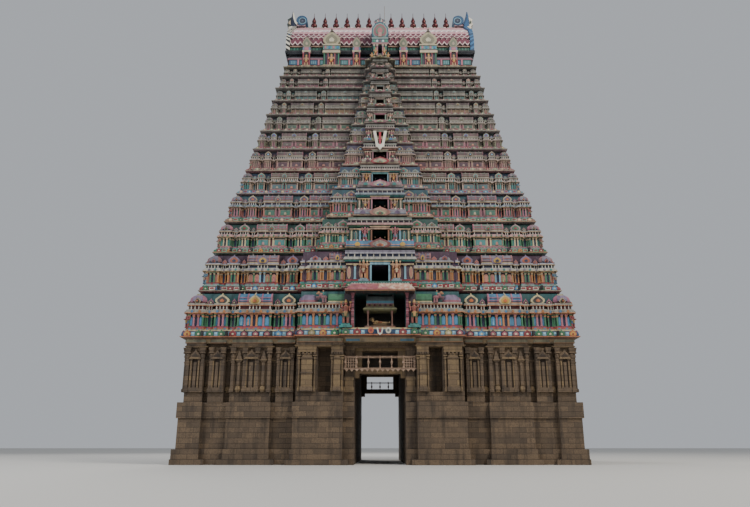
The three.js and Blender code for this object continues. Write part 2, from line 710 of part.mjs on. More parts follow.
// End gables: a horseshoe wall with a raised rim, and a crest with a horn and a curled mane
for (const [name, signX] of [
  ["left", -1],
  ["right", 1],
]) {
  const top = roofFoot + ROOF_SECTION.at(-1)[1];
  const rim = outerSection.map(([y, z]) => [y + GABLE_RIM, z === roofFoot ? z : z + GABLE_RIM / 2]);
  const xs = [signX * ROOF_X, signX * (ROOF_X + GABLE_THICK)];
  const plate = alongX(mirroredSection(rim), Math.min(...xs), Math.max(...xs));
  const ridgeTop = top + RIDGE_THICK;
  const crest = alongY(
    [
      [ROOF_X + 0.05, top - 1],
      [ROOF_X + GABLE_THICK - 0.05, top - 1],
      ...CREST,
      [CURL.x - 0.1, ridgeTop],
      [ROOF_X + 0.05, ridgeTop],
    ].map(([x, z]) => [signX * x, z]),
    -CREST_HALF,
    CREST_HALF,
  );
  const curl = new THREE.CylinderGeometry(CURL.radius, CURL.radius, CREST_HALF * 2 - 0.1, 10);
  curl.translate(signX * CURL.x, 0, 0);
  const curlSolid = solid(curl).translate([0, 0, CURL.z]);
  piece(`end_gable_${name}`, join([plate, crest, curlSolid]), blueStucco);
}

// Ridge with its row of pot finials, and a thin rod beside the middle one
const ridgeZ = roofFoot + ROOF_SECTION.at(-1)[1];
const finialProfile = FINIAL_PROFILE.map(([r, z]) => new THREE.Vector2(r, z));
const ridgeParts = [centred(ROOF_X, RIDGE_HALF, ridgeZ, ridgeZ + RIDGE_THICK)];
for (let i = 0; i < FINIALS; i += 1) {
  const pot = new THREE.LatheGeometry(finialProfile, 6);
  pot.rotateX(Math.PI / 2);
  pot.translate((i - (FINIALS - 1) / 2) * FINIAL_STEP, 0, ridgeZ + RIDGE_THICK);
  ridgeParts.push(solid(pot));
}
piece("ridge_and_finials", join(ridgeParts), copper);

const rodFoot = ridgeZ + RIDGE_THICK + SEAT;
const rod = new THREE.CylinderGeometry(ROD.radius, ROD.radius, ROD.top - rodFoot, 6);
rod.rotateX(Math.PI / 2);
rod.translate(ROD.x, 0, (ROD.top + rodFoot) / 2);
piece("ridge_rod", solid(rod), steel);

// Forehead mark: two white strokes that meet below, and a red one between them
const markLevel = 6;
const markZ = CORNICE_Z[markLevel];
const markFace = corniceY(markLevel) + BAY_FORWARD[markLevel] + BAY_STEP + GABLE_OUT;
const markOutline = [
  [0, markZ - MARK_RISE / 2],
  [0.22, markZ - MARK_RISE / 2 + 0.35],
  [0.42, markZ - MARK_RISE / 2 + 0.35],
  [MARK_HALF, markZ + MARK_RISE / 2],
  [0.5, markZ + MARK_RISE / 2],
  [0.18, markZ - MARK_DROP],
  [0.08, markZ - MARK_DROP],
  [0.08, markZ + MARK_RISE / 2 - 0.2],
];
const markPoints = [...markOutline, ...markOutline.slice(1).reverse().map(([x, z]) => [-x, z])];
piece("forehead_mark", alongY(markPoints, -markFace - MARK_THICK, -markFace), markPaint);

export default tower;
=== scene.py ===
import random
from math import atan2, cos, hypot, pi, radians, sin, tau
from types import SimpleNamespace

import bmesh
import bpy
from mathutils import Matrix, Vector


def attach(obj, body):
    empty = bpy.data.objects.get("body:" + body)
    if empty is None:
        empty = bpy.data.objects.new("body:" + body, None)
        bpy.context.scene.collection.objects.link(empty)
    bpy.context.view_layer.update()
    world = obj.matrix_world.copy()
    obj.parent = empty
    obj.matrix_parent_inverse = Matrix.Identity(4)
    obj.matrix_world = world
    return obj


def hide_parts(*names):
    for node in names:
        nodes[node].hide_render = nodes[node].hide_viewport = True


# The tower stands in model metres, half of the full tower's. Sizes below are of the full tower in metres,
# and each finished piece is halved. The front faces -Y.
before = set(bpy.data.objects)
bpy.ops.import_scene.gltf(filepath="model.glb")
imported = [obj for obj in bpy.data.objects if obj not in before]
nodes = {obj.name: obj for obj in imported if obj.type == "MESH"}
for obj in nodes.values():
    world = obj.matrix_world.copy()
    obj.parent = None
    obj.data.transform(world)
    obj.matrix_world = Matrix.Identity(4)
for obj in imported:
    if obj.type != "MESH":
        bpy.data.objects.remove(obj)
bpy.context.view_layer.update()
HALF = 0.5
scene = bpy.context.scene

# Camera at the eye height of someone in the street, looking up at the front, and soft studio light:
# a large warm lamp high on the right, a cool fill on the left and a pale room.
camera = bpy.data.objects.new("camera", bpy.data.cameras.new("camera"))
camera.data.lens = 31.2
camera.data.sensor_width = 36.0
camera.data.shift_x = -0.0067
camera.data.clip_end = 500.0
camera.location = (0.0, -38.07, 0.8)
camera.rotation_euler = (radians(90 + 16.57), 0, 0)
scene.collection.objects.link(camera)
scene.camera = camera

for name, place, size, power, colour in (
    ("key_light", (26, -34, 44), 14, 21000, (1.0, 0.95, 0.87)),
    ("fill_light", (-38, -30, 22), 22, 8200, (0.88, 0.93, 1.0)),
    ("back_light", (-16, 42, 40), 18, 11000, (1.0, 0.97, 0.93))
):
    lamp = bpy.data.lights.new(name, "AREA")
    lamp.size = size
    lamp.energy = power
    lamp.color = colour
    light = bpy.data.objects.new(name, lamp)
    light.location = place
    aim = Vector((0, 0, 13)) - light.location
    light.rotation_euler = aim.to_track_quat("-Z", "Y").to_euler()
    scene.collection.objects.link(light)
scene.world = bpy.data.worlds.new("pale_room")
scene.world.use_nodes = True
scene.world.node_tree.nodes["Background"].inputs["Color"].default_value = (0.80, 0.84, 0.90, 1)
scene.world.node_tree.nodes["Background"].inputs["Strength"].default_value = 0.55

# Studio floor: one plain pale matt sheet under the tower, which takes its shadow. It is a stage and not
# part of the object.


def linear(code):
    """An sRGB hex colour as linear values."""
    parts = [int(code[i : i + 2], 16) / 255 for i in (1, 3, 5)]
    return tuple(c / 12.92 if c <= 0.04045 else ((c + 0.055) / 1.055) ** 2.4 for c in parts) + (1.0,)


def add_node(tree, kind, settings=(), inputs=()):
    """A node with its settings, and its inputs set to values or joined to outputs."""
    made = tree.nodes.new(kind)
    for key, value in dict(settings).items():
        setattr(made, key, value)
    for key, value in dict(inputs).items():
        if isinstance(value, bpy.types.NodeSocket):
            tree.links.new(value, made.inputs[key])
        else:
            made.inputs[key].default_value = value
    return made


floor_mesh = bpy.data.meshes.new("floor")
bm = bmesh.new()
bmesh.ops.create_grid(bm, x_segments=1, y_segments=1, size=400)
bm.to_mesh(floor_mesh)
bm.free()
floor_sheet = bpy.data.objects.new("floor", floor_mesh)
scene.collection.objects.link(floor_sheet)
floor_paint = bpy.data.materials.new("matt_floor_sheet")
floor_paint.use_nodes = True
floor_paint.node_tree.nodes["Principled BSDF"].inputs["Base Color"].default_value = linear("#c9c7c2")
floor_paint.node_tree.nodes["Principled BSDF"].inputs["Roughness"].default_value = 0.9
floor_mesh.materials.append(floor_paint)

# Stone base: dressed granite in dry courses about half a metre high, brown with dust and lamp soot.
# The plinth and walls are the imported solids; the mouldings, pilasters and niches below are cut in front.


def bare_material(name):
    """A material with only its output and a shader, as (material, tree, shader)."""
    material = bpy.data.materials.new(name)
    material.use_nodes = True
    return material, material.node_tree, material.node_tree.nodes["Principled BSDF"]


def along_wall(tree):
    """Object coordinates in full-tower metres, and (run along the wall, height) for courses on any side."""
    place = add_node(tree, "ShaderNodeTexCoord").outputs["Object"]
    full = add_node(tree, "ShaderNodeVectorMath", {"operation": "SCALE"}, {0: place, "Scale": 2.0}).outputs[0]
    axes = add_node(tree, "ShaderNodeSeparateXYZ", (), {0: full})
    run = add_node(tree, "ShaderNodeMath", {"operation": "ADD"}, {0: axes.outputs[0], 1: axes.outputs[1]})
    wall = add_node(tree, "ShaderNodeCombineXYZ", (), {0: run.outputs[0], 1: axes.outputs[2]})
    return full, wall.outputs[0], axes.outputs[2]


def coat(tree, spread, reach, strength, under, over):
    """A coat of dust, soot or wear: a noise spreads it between two values of reach, as thick as strength."""
    limits = {0: spread, 1: reach[0], 2: reach[1], 3: strength[0], 4: strength[1]}
    amount = add_node(tree, "ShaderNodeMapRange", (), limits).outputs[0]
    return add_node(tree, "ShaderNodeMix", {"data_type": "RGBA"}, {0: amount, 6: under, 7: over}).outputs[2]


def surface(tree, shader, colour, spread, reach, smooth, rough):
    """Gives a shader its colour, and a gloss that a noise leads from smooth to rough."""
    tree.links.new(colour, shader.inputs["Base Color"])
    limits = {0: spread, 1: reach[0], 2: reach[1], 3: smooth, 4: rough}
    tree.links.new(add_node(tree, "ShaderNodeMapRange", (), limits).outputs[0], shader.inputs["Roughness"])


def granite_masonry(name, light, dark, soot):
    """Granite laid in courses of 480 mm with blocks of 1.3 m, speckled grain, pale dust and soot patches."""
    material, tree, shader = bare_material(name)
    full, wall, _ = along_wall(tree)
    blocks = add_node(
        tree, "ShaderNodeTexBrick", {"offset": 0.5},
        {
            "Vector": wall, "Color1": light, "Color2": dark, "Mortar": soot, "Scale": 1.0,
            "Mortar Size": 0.02, "Mortar Smooth": 0.6, "Bias": -0.1, "Brick Width": 1.3, "Row Height": 0.48
        }
    )
    grain = add_node(
        tree, "ShaderNodeTexNoise", (), {"Vector": full, "Scale": 9.0, "Detail": 6.0, "Roughness": 0.7}
    )
    patches = add_node(
        tree, "ShaderNodeTexNoise", (), {"Vector": full, "Scale": 0.55, "Detail": 5.0, "Roughness": 0.6}
    )
    squeezed = add_node(tree, "ShaderNodeMapping", (), {"Vector": full, "Scale": (1.6, 1.6, 0.16)})
    streaks = add_node(
        tree, "ShaderNodeTexNoise", (), {"Vector": squeezed.outputs[0], "Scale": 1.0, "Detail": 4.0}
    )
    speckled = coat(tree, grain.outputs[0], (0.35, 0.75), (0.0, 1.0), blocks.outputs["Color"], dark)
    dusty = coat(tree, patches.outputs[0], (0.52, 0.75), (0.0, 0.55), speckled, light)
    sooty = coat(tree, streaks.outputs[0], (0.50, 0.70), (0.0, 0.6), dusty, soot)
    surface(tree, shader, sooty, grain.outputs[0], (0.3, 0.7), 0.72, 0.95)
    relief = add_node(
        tree, "ShaderNodeMath", {"operation": "SUBTRACT"}, {0: grain.outputs[0], 1: blocks.outputs["Fac"]}
    )
    bump = add_node(
        tree, "ShaderNodeBump", (), {"Height": relief.outputs[0], "Strength": 0.6, "Distance": 0.02}
    )
    tree.links.new(bump.outputs[0], shader.inputs["Normal"])
    return material


# Granite in three tones: plain, a lighter copy as painted sunlight and a darker copy as painted shade in
# niches.
granite = granite_masonry("dressed_granite", linear("#75614b"), linear("#4c4034"), linear("#241f1b"))
granite_painted_lit = granite_masonry(
    "dressed_granite_painted_lit", linear("#87714f"), linear("#635240"), linear("#302821")
)
granite_painted_shade = granite_masonry(
    "dressed_granite_painted_shade", linear("#4c4034"), linear("#352b23"), linear("#191512")
)
granites = [granite, granite_painted_lit, granite_painted_shade]
FRONT_BACK, LEFT_RIGHT = ("front", "back"), ("left", "right")
GRANITE, PAINTED_LIT, PAINTED_SHADE = 0, 1, 2


def tint(bm, faces, code):
    """Paints faces with a hex colour in the paint attribute, or with a material's place in the list."""
    if isinstance(code, int):
        for face in faces:
            face.material_index = code
        return
    layer = bm.loops.layers.float_color["paint"]
    value = linear(code)
    for face in faces:
        for loop in face.loops:
            loop[layer] = value


def new_mesh():
    """An empty mesh with the layer that holds its paint."""
    bm = bmesh.new()
    bm.loops.layers.float_color.new("paint")
    return bm


def block(bm, low, high, code, taper=1.0):
    """A block between two corners, with its top narrowed by taper."""
    size = Vector(high) - Vector(low)
    centre = (Vector(high) + Vector(low)) / 2
    made = bmesh.ops.create_cube(
        bm, size=1.0, matrix=Matrix.Translation(centre) @ Matrix.Diagonal((*size, 1.0))
    )
    if taper != 1.0:
        for vert in made["verts"]:
            if vert.co.z > centre.z:
                vert.co.x = centre.x + (vert.co.x - centre.x) * taper
                vert.co.y = centre.y + (vert.co.y - centre.y) * taper
    tint(bm, {face for vert in made["verts"] for face in vert.link_faces}, code)


def bar(bm, x, half, depth, height, code, taper=1.0):
    """A block centred on x, half to each side, between two depths and two heights."""
    block(bm, (x - half, depth[0], height[0]), (x + half, depth[1], height[1]), code, taper)


def prism(bm, outline, axis, start, end, code, cap=None):
    """An outline run along an axis, with one code for its sides and maybe another for its ends."""
    put = {
        "x": lambda u, v: (start, u, v), "y": lambda u, v: (u, start, v), "z": lambda u, v: (u, v, start)
    }[axis]
    face = bm.faces.new([bm.verts.new(put(u, v)) for u, v in outline])
    edges = [loop.edge for loop in face.loops]
    made = bmesh.ops.extrude_face_region(bm, geom=[face])["geom"]
    move = [0.0, 0.0, 0.0]
    move["xyz".index(axis)] = end - start
    bmesh.ops.translate(bm, vec=move, verts=[item for item in made if isinstance(item, bmesh.types.BMVert)])
    around = [side for edge in edges for side in edge.link_faces if side is not face]
    tint(bm, around, code)
    ends = [face] + [item for item in made if isinstance(item, bmesh.types.BMFace)]
    tint(bm, ends, code if cap is None else cap)
    bmesh.ops.recalc_face_normals(bm, faces=list(set(around + ends)))


def turned(bm, profile, sides, codes, centre=(0.0, 0.0), turn=0.0):
    """A profile of (radius, height) turned about an upright axis, in one code or a list of one a band."""
    x, y = centre
    c, s = cos(turn), sin(turn)
    line = [bm.verts.new((x + r * c, y + r * s, z)) for r, z in profile]
    edges = [bm.edges.new(pair) for pair in zip(line, line[1:])]
    bmesh.ops.spin(
        bm, geom=line + edges, cent=(x, y, 0), axis=(0, 0, 1), angle=tau, steps=sides, use_merge=True
    )
    verts = set(line)
    faces = set()
    wave = list(line)
    while wave:
        vert = wave.pop()
        for face in vert.link_faces:
            if face not in faces:
                faces.add(face)
                for other in face.verts:
                    if other not in verts:
                        verts.add(other)
                        wave.append(other)
    bmesh.ops.remove_doubles(bm, verts=list(verts), dist=1e-4)
    faces = [face for face in faces if face.is_valid]
    if not isinstance(codes, list):
        tint(bm, faces, codes)
    else:
        middles = [((a[0] + b[0]) / 2, (a[1] + b[1]) / 2) for a, b in zip(profile, profile[1:])]
        shrink = cos(pi / sides)
        for face in faces:
            middle = face.calc_center_median()
            r = hypot(middle.x - x, middle.y - y)
            best = min(
                range(len(middles)),
                key=lambda i: (middles[i][0] * shrink - r) ** 2 + (middles[i][1] - middle.z) ** 2
            )
            tint(bm, [face], codes[best])
    bmesh.ops.recalc_face_normals(bm, faces=faces)


def grown(outline, out):
    """An outline in plan with every side moved out by the same distance."""
    moved = []
    count = len(outline)
    for i in range(count):
        before, here, after = (Vector(outline[(i + k) % count]) for k in (-1, 0, 1))
        first = (here - before).normalized()
        second = (after - here).normalized()
        sides = Vector((first.y + second.y, -first.x - second.x))
        moved.append(here + sides * out / (1 + first.dot(second)))
    return moved


def moulding(bm, outline, steps, codes):
    """A closed moulded course round an outline: steps of (out, height), with a code for each band."""
    ring = [bm.verts.new((x, y, steps[0][1])) for x, y in grown(outline, steps[0][0])]
    base = bm.faces.new(ring)
    edges = [loop.edge for loop in base.loops]
    faces = [base]
    tint(bm, [base], codes[0])
    for (out, z), code in zip(steps[1:], codes):
        made = bmesh.ops.extrude_edge_only(bm, edges=edges)["geom"]
        target = [Vector((x, y, z)) for x, y in grown(outline, out)]
        places = {tuple(round(v, 4) for v in vert.co): i for i, vert in enumerate(ring)}
        fresh = [item for item in made if isinstance(item, bmesh.types.BMVert)]
        ring = [None] * len(ring)
        for vert in fresh:
            i = places[tuple(round(v, 4) for v in vert.co)]
            ring[i] = vert
            vert.co = target[i]
        edges = [
            item for item in made if isinstance(item, bmesh.types.BMEdge) and set(item.verts) <= set(fresh)
        ]
        band = [item for item in made if isinstance(item, bmesh.types.BMFace)]
        tint(bm, band, code)
        faces += band
    top = bm.faces.new(ring)
    tint(bm, [top], codes[-1])
    faces.append(top)
    bmesh.ops.recalc_face_normals(bm, faces=faces)


def as_unit(bm, name):
    """A mesh kept for copies."""
    mesh = bpy.data.meshes.new(name)
    bm.to_mesh(mesh)
    bm.free()
    return mesh


def put(bm, unit, place, turn=0.0, scale=1.0):
    """A copy of a unit, turned about an upright axis."""
    copy = unit.copy()
    size = scale if isinstance(scale, (list, tuple)) else (scale,) * 3
    copy.transform(Matrix.Translation(place) @ Matrix.Rotation(turn, 4, "Z") @ Matrix.Diagonal((*size, 1.0)))
    if size[0] * size[1] * size[2] < 0:
        copy.flip_normals()
    bm.from_mesh(copy)
    bpy.data.meshes.remove(copy)


def finish_piece(bm, name, materials, turn=0.0):
    """Halves a mesh to the model's size and makes it a piece of the tower."""
    matrix = Matrix.Rotation(turn, 4, "Z") @ Matrix.Diagonal((HALF, HALF, HALF, 1.0))
    bmesh.ops.transform(bm, matrix=matrix, verts=bm.verts)
    mesh = bpy.data.meshes.new(name)
    bm.to_mesh(mesh)
    bm.free()
    for material in materials:
        mesh.materials.append(material)
    made = bpy.data.objects.new(name, mesh)
    scene.collection.objects.link(made)
    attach(made, "root")
    return made


def dress(material, *names):
    """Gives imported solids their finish."""
    for name in names:
        nodes[name].data.materials.clear()
        nodes[name].data.materials.append(material)


def finish_pair(bm, name, sides, materials, turn=0.0):
    """Makes a piece for one side of the tower and its twin, turned half round, for the opposite side."""
    piece = finish_piece(bm, f"{name}_{sides[0]}", materials, turn)
    other = bpy.data.objects.new(f"{name}_{sides[1]}", piece.data.copy())
    other.data.transform(Matrix.Rotation(pi, 4, "Z"))
    scene.collection.objects.link(other)
    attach(other, "root")
    return piece, other


# Plinth and wall-foot courses: cut granite mouldings, a round one between flat ones, that follow the
# wide bays of each flank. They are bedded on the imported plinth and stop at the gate.
def flank_outline(side):
    """The outer edge of one flank in plan, from the porch's front round to its back."""
    front = [
        (3.6, -13.5), (8.0, -13.5), (8.0, -12.25), (10.5, -12.25), (10.5, -12.75), (14.4, -12.75),
        (14.4, -12.25), (17.0, -12.25), (17.0, -12.75), (18.75, -12.75), (18.75, -11.0), (18.25, -11.0),
        (18.25, -3.2), (18.75, -3.2)
    ]
    outline = front + [(x, -y) for x, y in reversed(front)]
    return outline if side > 0 else [(-x, y) for x, y in reversed(outline)]


plinth_steps = [
    (0.68, 0.0), (0.68, 0.5), (0.62, 0.64), (0.62, 1.42), (0.40, 1.46), (0.34, 1.7), (0.42, 1.8),
    (0.42, 2.05), (0.34, 2.15), (0.34, 2.9), (0.42, 3.0), (0.56, 3.25), (0.60, 3.5), (0.56, 3.75),
    (0.42, 4.0), (0.36, 4.2), (0.48, 4.24), (0.48, 4.55), (0.62, 4.66), (0.62, 4.86), (0.49, 4.96),
    (0.49, 5.4), (0.60, 5.5), (0.60, 5.68), (0.30, 5.7), (0.30, 5.95), (0.40, 6.02), (0.40, 6.18),
    (0.24, 6.26), (0.24, 6.42), (0.32, 6.48), (0.32, 6.6), (0.06, 6.66)
]
beam_steps = [
    (0.14, 10.84), (0.14, 10.9), (0.24, 10.94), (0.24, 11.0), (0.17, 11.03), (0.17, 11.13), (0.32, 11.19),
    (0.32, 11.29)
]
for side, name in ((-1, "left"), (1, "right")):
    bm = new_mesh()
    moulding(bm, flank_outline(side), plinth_steps, [GRANITE])
    moulding(bm, flank_outline(side), beam_steps, [PAINTED_LIT, GRANITE, PAINTED_LIT, GRANITE])
    finish_piece(bm, f"stone_mouldings_{name}", granites)

# Wall pilasters: square granite shafts with a foot block, a turned cushion under a square plate and a
# bracket, all cut from one stone and standing a hand's breadth out of the wall.
FOOT, BEAM = 6.62, 10.86


def stone_pilaster(wide, code):
    """A pilaster against a wall at y = 0."""
    bm = new_mesh()
    half = wide / 2
    bar(bm, 0, half * 1.35, (-0.3, 0.1), (FOOT, FOOT + 0.3), code)
    bar(bm, 0, half, (-0.22, 0.1), (FOOT + 0.3, 9.78), code)
    bar(bm, 0, half * 1.2, (-0.27, 0.1), (9.38, 9.48), code)
    bell = [
        (half * 0.8, 9.76), (half * 1.35, 9.91), (half * 1.5, 10.06), (half * 1.2, 10.22), (half * 0.9, 10.32)
    ]
    turned(bm, bell, 8, code, centre=(0.0, -0.1), turn=pi / 8)
    bar(bm, 0, half * 1.7, (-0.36, 0.1), (10.3, 10.42), code)
    bar(bm, 0, half * 1.25, (-0.3, 0.1), (10.42, BEAM), code, taper=1.5)
    return as_unit(bm, "stone_pilaster")


def stone_niche(wide):
    """A shallow niche between thin shafts, under an eave and a pointed gable."""
    bm = new_mesh()
    half = wide / 2
    bar(bm, 0, half * 1.2, (-0.24, 0.1), (FOOT, FOOT + 0.42), GRANITE)
    # The niche's back is the darker granite copy, as painted shade.
    bar(bm, 0, half * 0.72, (-0.05, 0.1), (FOOT + 0.42, 9.84), PAINTED_SHADE)
    for side in (-1, 1):
        bar(bm, side * half * 0.86, 0.08, (-0.2, 0.1), (FOOT + 0.42, 9.76), PAINTED_LIT)
        bar(bm, side * half * 0.86, 0.13, (-0.24, 0.1), (9.64, 9.76), GRANITE)
    bar(bm, 0, half * 0.34, (-0.13, 0.05), (FOOT + 0.42, 9.46), GRANITE)
    bar(bm, 0, half * 1.35, (-0.34, 0.1), (9.76, 9.92), PAINTED_LIT, taper=0.86)
    hood = [
        (-1.1, 9.92), (1.1, 9.92), (1.15, 10.12), (0.7, 10.32), (0.3, 10.44), (0, 10.7), (-0.3, 10.44),
        (-0.7, 10.32), (-1.15, 10.12)
    ]
    prism(bm, [(x * half, z) for x, z in hood], "y", 0.05, -0.26, PAINTED_LIT, GRANITE)
    prism(bm, [(x * half * 0.55, 9.96 + (z - 9.92) * 0.6) for x, z in hood], "y", 0.0, -0.3, PAINTED_LIT, PAINTED_SHADE)
    return as_unit(bm, "stone_niche")


def stone_vase():
    """A slim pilaster that rises from a pot, with a flared plate and a spire on it."""
    bm = new_mesh()
    pot = [
        (0.0, FOOT), (0.2, FOOT), (0.3, FOOT + 0.25), (0.24, FOOT + 0.5), (0.12, FOOT + 0.6),
        (0.2, FOOT + 0.68), (0.0, FOOT + 0.7)
    ]
    turned(bm, pot, 8, PAINTED_LIT, centre=(0.0, -0.05))
    bar(bm, 0, 0.13, (-0.16, 0.1), (FOOT + 0.6, 9.46), GRANITE)
    bar(bm, 0, 0.2, (-0.2, 0.1), (9.46, 9.62), GRANITE, taper=1.7)
    bar(bm, 0, 0.36, (-0.3, 0.1), (9.62, 9.7), PAINTED_LIT)
    bar(bm, 0, 0.27, (-0.24, 0.1), (9.7, 10.56), GRANITE, taper=0.25)
    return as_unit(bm, "stone_vase")


def stone_arch(wide):
    """A broad flat shaft with a round head between two slim columns."""
    bm = new_mesh()
    half = wide / 2
    shaft = [
        (-0.6, FOOT), (0.6, FOOT), (0.6, 9.76), (0.5, 10.02), (0.28, 10.2), (0, 10.26), (-0.28, 10.2),
        (-0.5, 10.02), (-0.6, 9.76)
    ]
    prism(bm, [(x * half, z) for x, z in shaft], "y", 0.05, -0.26, PAINTED_LIT)
    bar(bm, 0, half * 0.68, (-0.32, 0.05), (8.3, 8.42), GRANITE)
    bar(bm, 0, half * 0.68, (-0.32, 0.05), (9.7, 9.8), GRANITE)
    bar(bm, 0, half * 0.7, (-0.34, 0.05), (FOOT, FOOT + 0.45), GRANITE)
    for side in (-1, 1):
        x = side * half * 0.86
        column = [
            (0.0, FOOT), (0.14, FOOT), (0.14, FOOT + 0.3), (0.085, FOOT + 0.36), (0.085, 9.56), (0.15, 9.66),
            (0.17, 9.78), (0.1, 9.91), (0.0, 9.96)
        ]
        turned(bm, column, 6, PAINTED_LIT, centre=(x, -0.16))
        bar(bm, x, 0.2, (-0.36, 0.05), (9.92, 10.04), PAINTED_LIT)
    bar(bm, 0, half, (-0.34, 0.05), (10.32, 10.44), PAINTED_LIT)
    bar(bm, 0, half * 0.95, (-0.24, 0.05), (10.44, BEAM), PAINTED_LIT, taper=1.08)
    for i in range(5):
        x = (i - 2) * half * 0.42
        turned(
            bm, [(0.0, 10.06), (0.1, 10.1), (0.14, 10.22), (0.08, 10.34), (0.0, 10.36)], 6, GRANITE,
            centre=(x, -0.25)
        )
    return as_unit(bm, "stone_arch")


plain = stone_pilaster(0.3, GRANITE)
niche = stone_niche(1.05)
niche_narrow = stone_niche(0.85)
vase = stone_vase()
arch_wide = stone_arch(1.75)
arch_narrow = stone_arch(1.12)
bay_face, recess_face, porch_face = -12.75, -12.25, -13.5
front = new_mesh()
for side in (-1, 1):
    for x in (17.18, 18.58, 15.2, 16.32, 10.7, 11.84, 13.06, 14.22, 8.48, 9.82):
        put(front, plain, (side * x, bay_face, 0))
    for x, unit in ((17.88, niche_narrow), (15.76, niche_narrow), (12.45, niche), (9.15, niche_narrow)):
        put(front, unit, (side * x, bay_face, 0))
    for x in (11.27, 13.64):
        put(front, vase, (side * x, bay_face, 0))
    for x in (10.25, 14.7, 16.75):
        put(front, vase, (side * x, recess_face, 0))
    put(front, arch_wide, (side * 6.98, porch_face, 0))
    put(front, arch_narrow, (side * 4.1, porch_face, 0))
    for z0, z1, wide in (
        (6.62, 7.1, 0.5), (7.1, 7.75, 0.4), (7.75, 8.0, 0.48), (8.0, 8.3, 0.4), (8.3, 10.3, 0.36),
        (10.3, 10.52, 0.46), (10.52, 10.86, 0.52)
    ):
        bar(front, side * 2.98, wide, (-12.95, -12.7), (z0, z1), PAINTED_LIT if z0 < 8 else GRANITE)
finish_pair(front, "stone_pilasters", FRONT_BACK, granites)
flank = new_mesh()
side_face, side_bay = -18.25, -18.75
for side in (-1, 1):
    for x in (11.2, 12.58, 2.98, 1.0):
        put(flank, plain, (side * x, side_bay, 0))
    put(flank, niche_narrow, (side * 11.88, side_bay, 0))
    put(flank, niche_narrow, (side * 1.98, side_bay, 0))
    for x in (4.0, 5.5, 6.4, 7.9, 8.8, 10.3):
        put(flank, plain, (side * x, side_face, 0))
    for x in (4.75, 7.15, 9.55):
        put(flank, niche_narrow, (side * x, side_face, 0))
put(flank, niche, (0, side_bay, 0))
finish_pair(flank, "stone_pilasters", LEFT_RIGHT, granites, turn=-pi / 2)

dress(granite, "plinth_left", "plinth_right", "base_wall_left", "base_wall_right", "base_entablature")
# The gate lintels take the lighter granite copy, as painted sunlight.
dress(granite_painted_lit, "gate_lintel_front", "gate_lintel_back")

# Gate rail: a timber rail with turned posts before the window over the gate, on a toothed beam that rests
# on stone corbels. Its pinkish brown paint is thin and dull, and the grain shows along the rail.
timber, tree, shader = bare_material("painted_timber")
full = along_wall(tree)[0]
squeezed = add_node(tree, "ShaderNodeMapping", (), {"Vector": full, "Scale": (1.2, 1.2, 9.0)})
grain = add_node(
    tree, "ShaderNodeTexNoise", (),
    {"Vector": squeezed.outputs[0], "Scale": 1.5, "Detail": 6.0, "Distortion": 0.6}
)
tone = coat(tree, grain.outputs[0], (0.38, 0.66), (0.0, 1.0), linear("#a88e78"), linear("#6f5646"))
surface(tree, shader, tone, grain.outputs[0], (0.3, 0.7), 0.6, 0.85)
bump = add_node(tree, "ShaderNodeBump", (), {"Height": grain.outputs[0], "Strength": 0.4, "Distance": 0.01})
tree.links.new(bump.outputs[0], shader.inputs["Normal"])
rail = new_mesh()
face, back = -13.38, -13.26
for low, high, out in ((8.72, 8.8, 0.0), (8.8, 8.86, 0.03), (9.8, 9.85, 0.0), (9.92, 9.98, 0.03)):
    bar(rail, 0, 3.48, (face - out, back), (low, high), 0)
for i in range(7):
    x = (i - 3) * 1.12
    line = [
        (0.0, 8.86), (0.07, 8.86), (0.07, 8.98), (0.045, 9.04), (0.05, 9.2), (0.11, 9.32), (0.12, 9.44),
        (0.06, 9.56), (0.045, 9.78), (0.08, 9.86)
    ]
    line += [(0.08, 9.98), (0.04, 10.0), (0.08, 10.03), (0.0, 10.05)]
    turned(rail, line, 8, 0, centre=(x, -13.32))
for side in (-1, 1):
    for i in range(5):
        x = side * (2.24 + 0.2 * (i + 0.5) * 1.12)
        bar(rail, x, 0.03, (-13.34, -13.29), (8.86, 9.8), 0)
    for z in (9.1, 9.34, 9.58):
        bar(rail, side * 2.8, 0.56, (-13.33, -13.3), (z, z + 0.05), 0)
for i in range(14):
    x = -3.2 + i * 0.4923
    prism(rail, [(x - 0.18, 8.72), (x + 0.18, 8.72), (x, 8.5)], "y", back, face, 0)
rail_piece, other = finish_pair(rail, "gate_rail_turned", FRONT_BACK, [timber])
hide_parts("gate_rail_front")
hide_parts("gate_rail_back")

# Painted stucco of the storeys: coloured limewash over plaster, faded by the sun, dusty on its flats and
# streaked by rain. Each piece keeps its colours in its paint attribute.


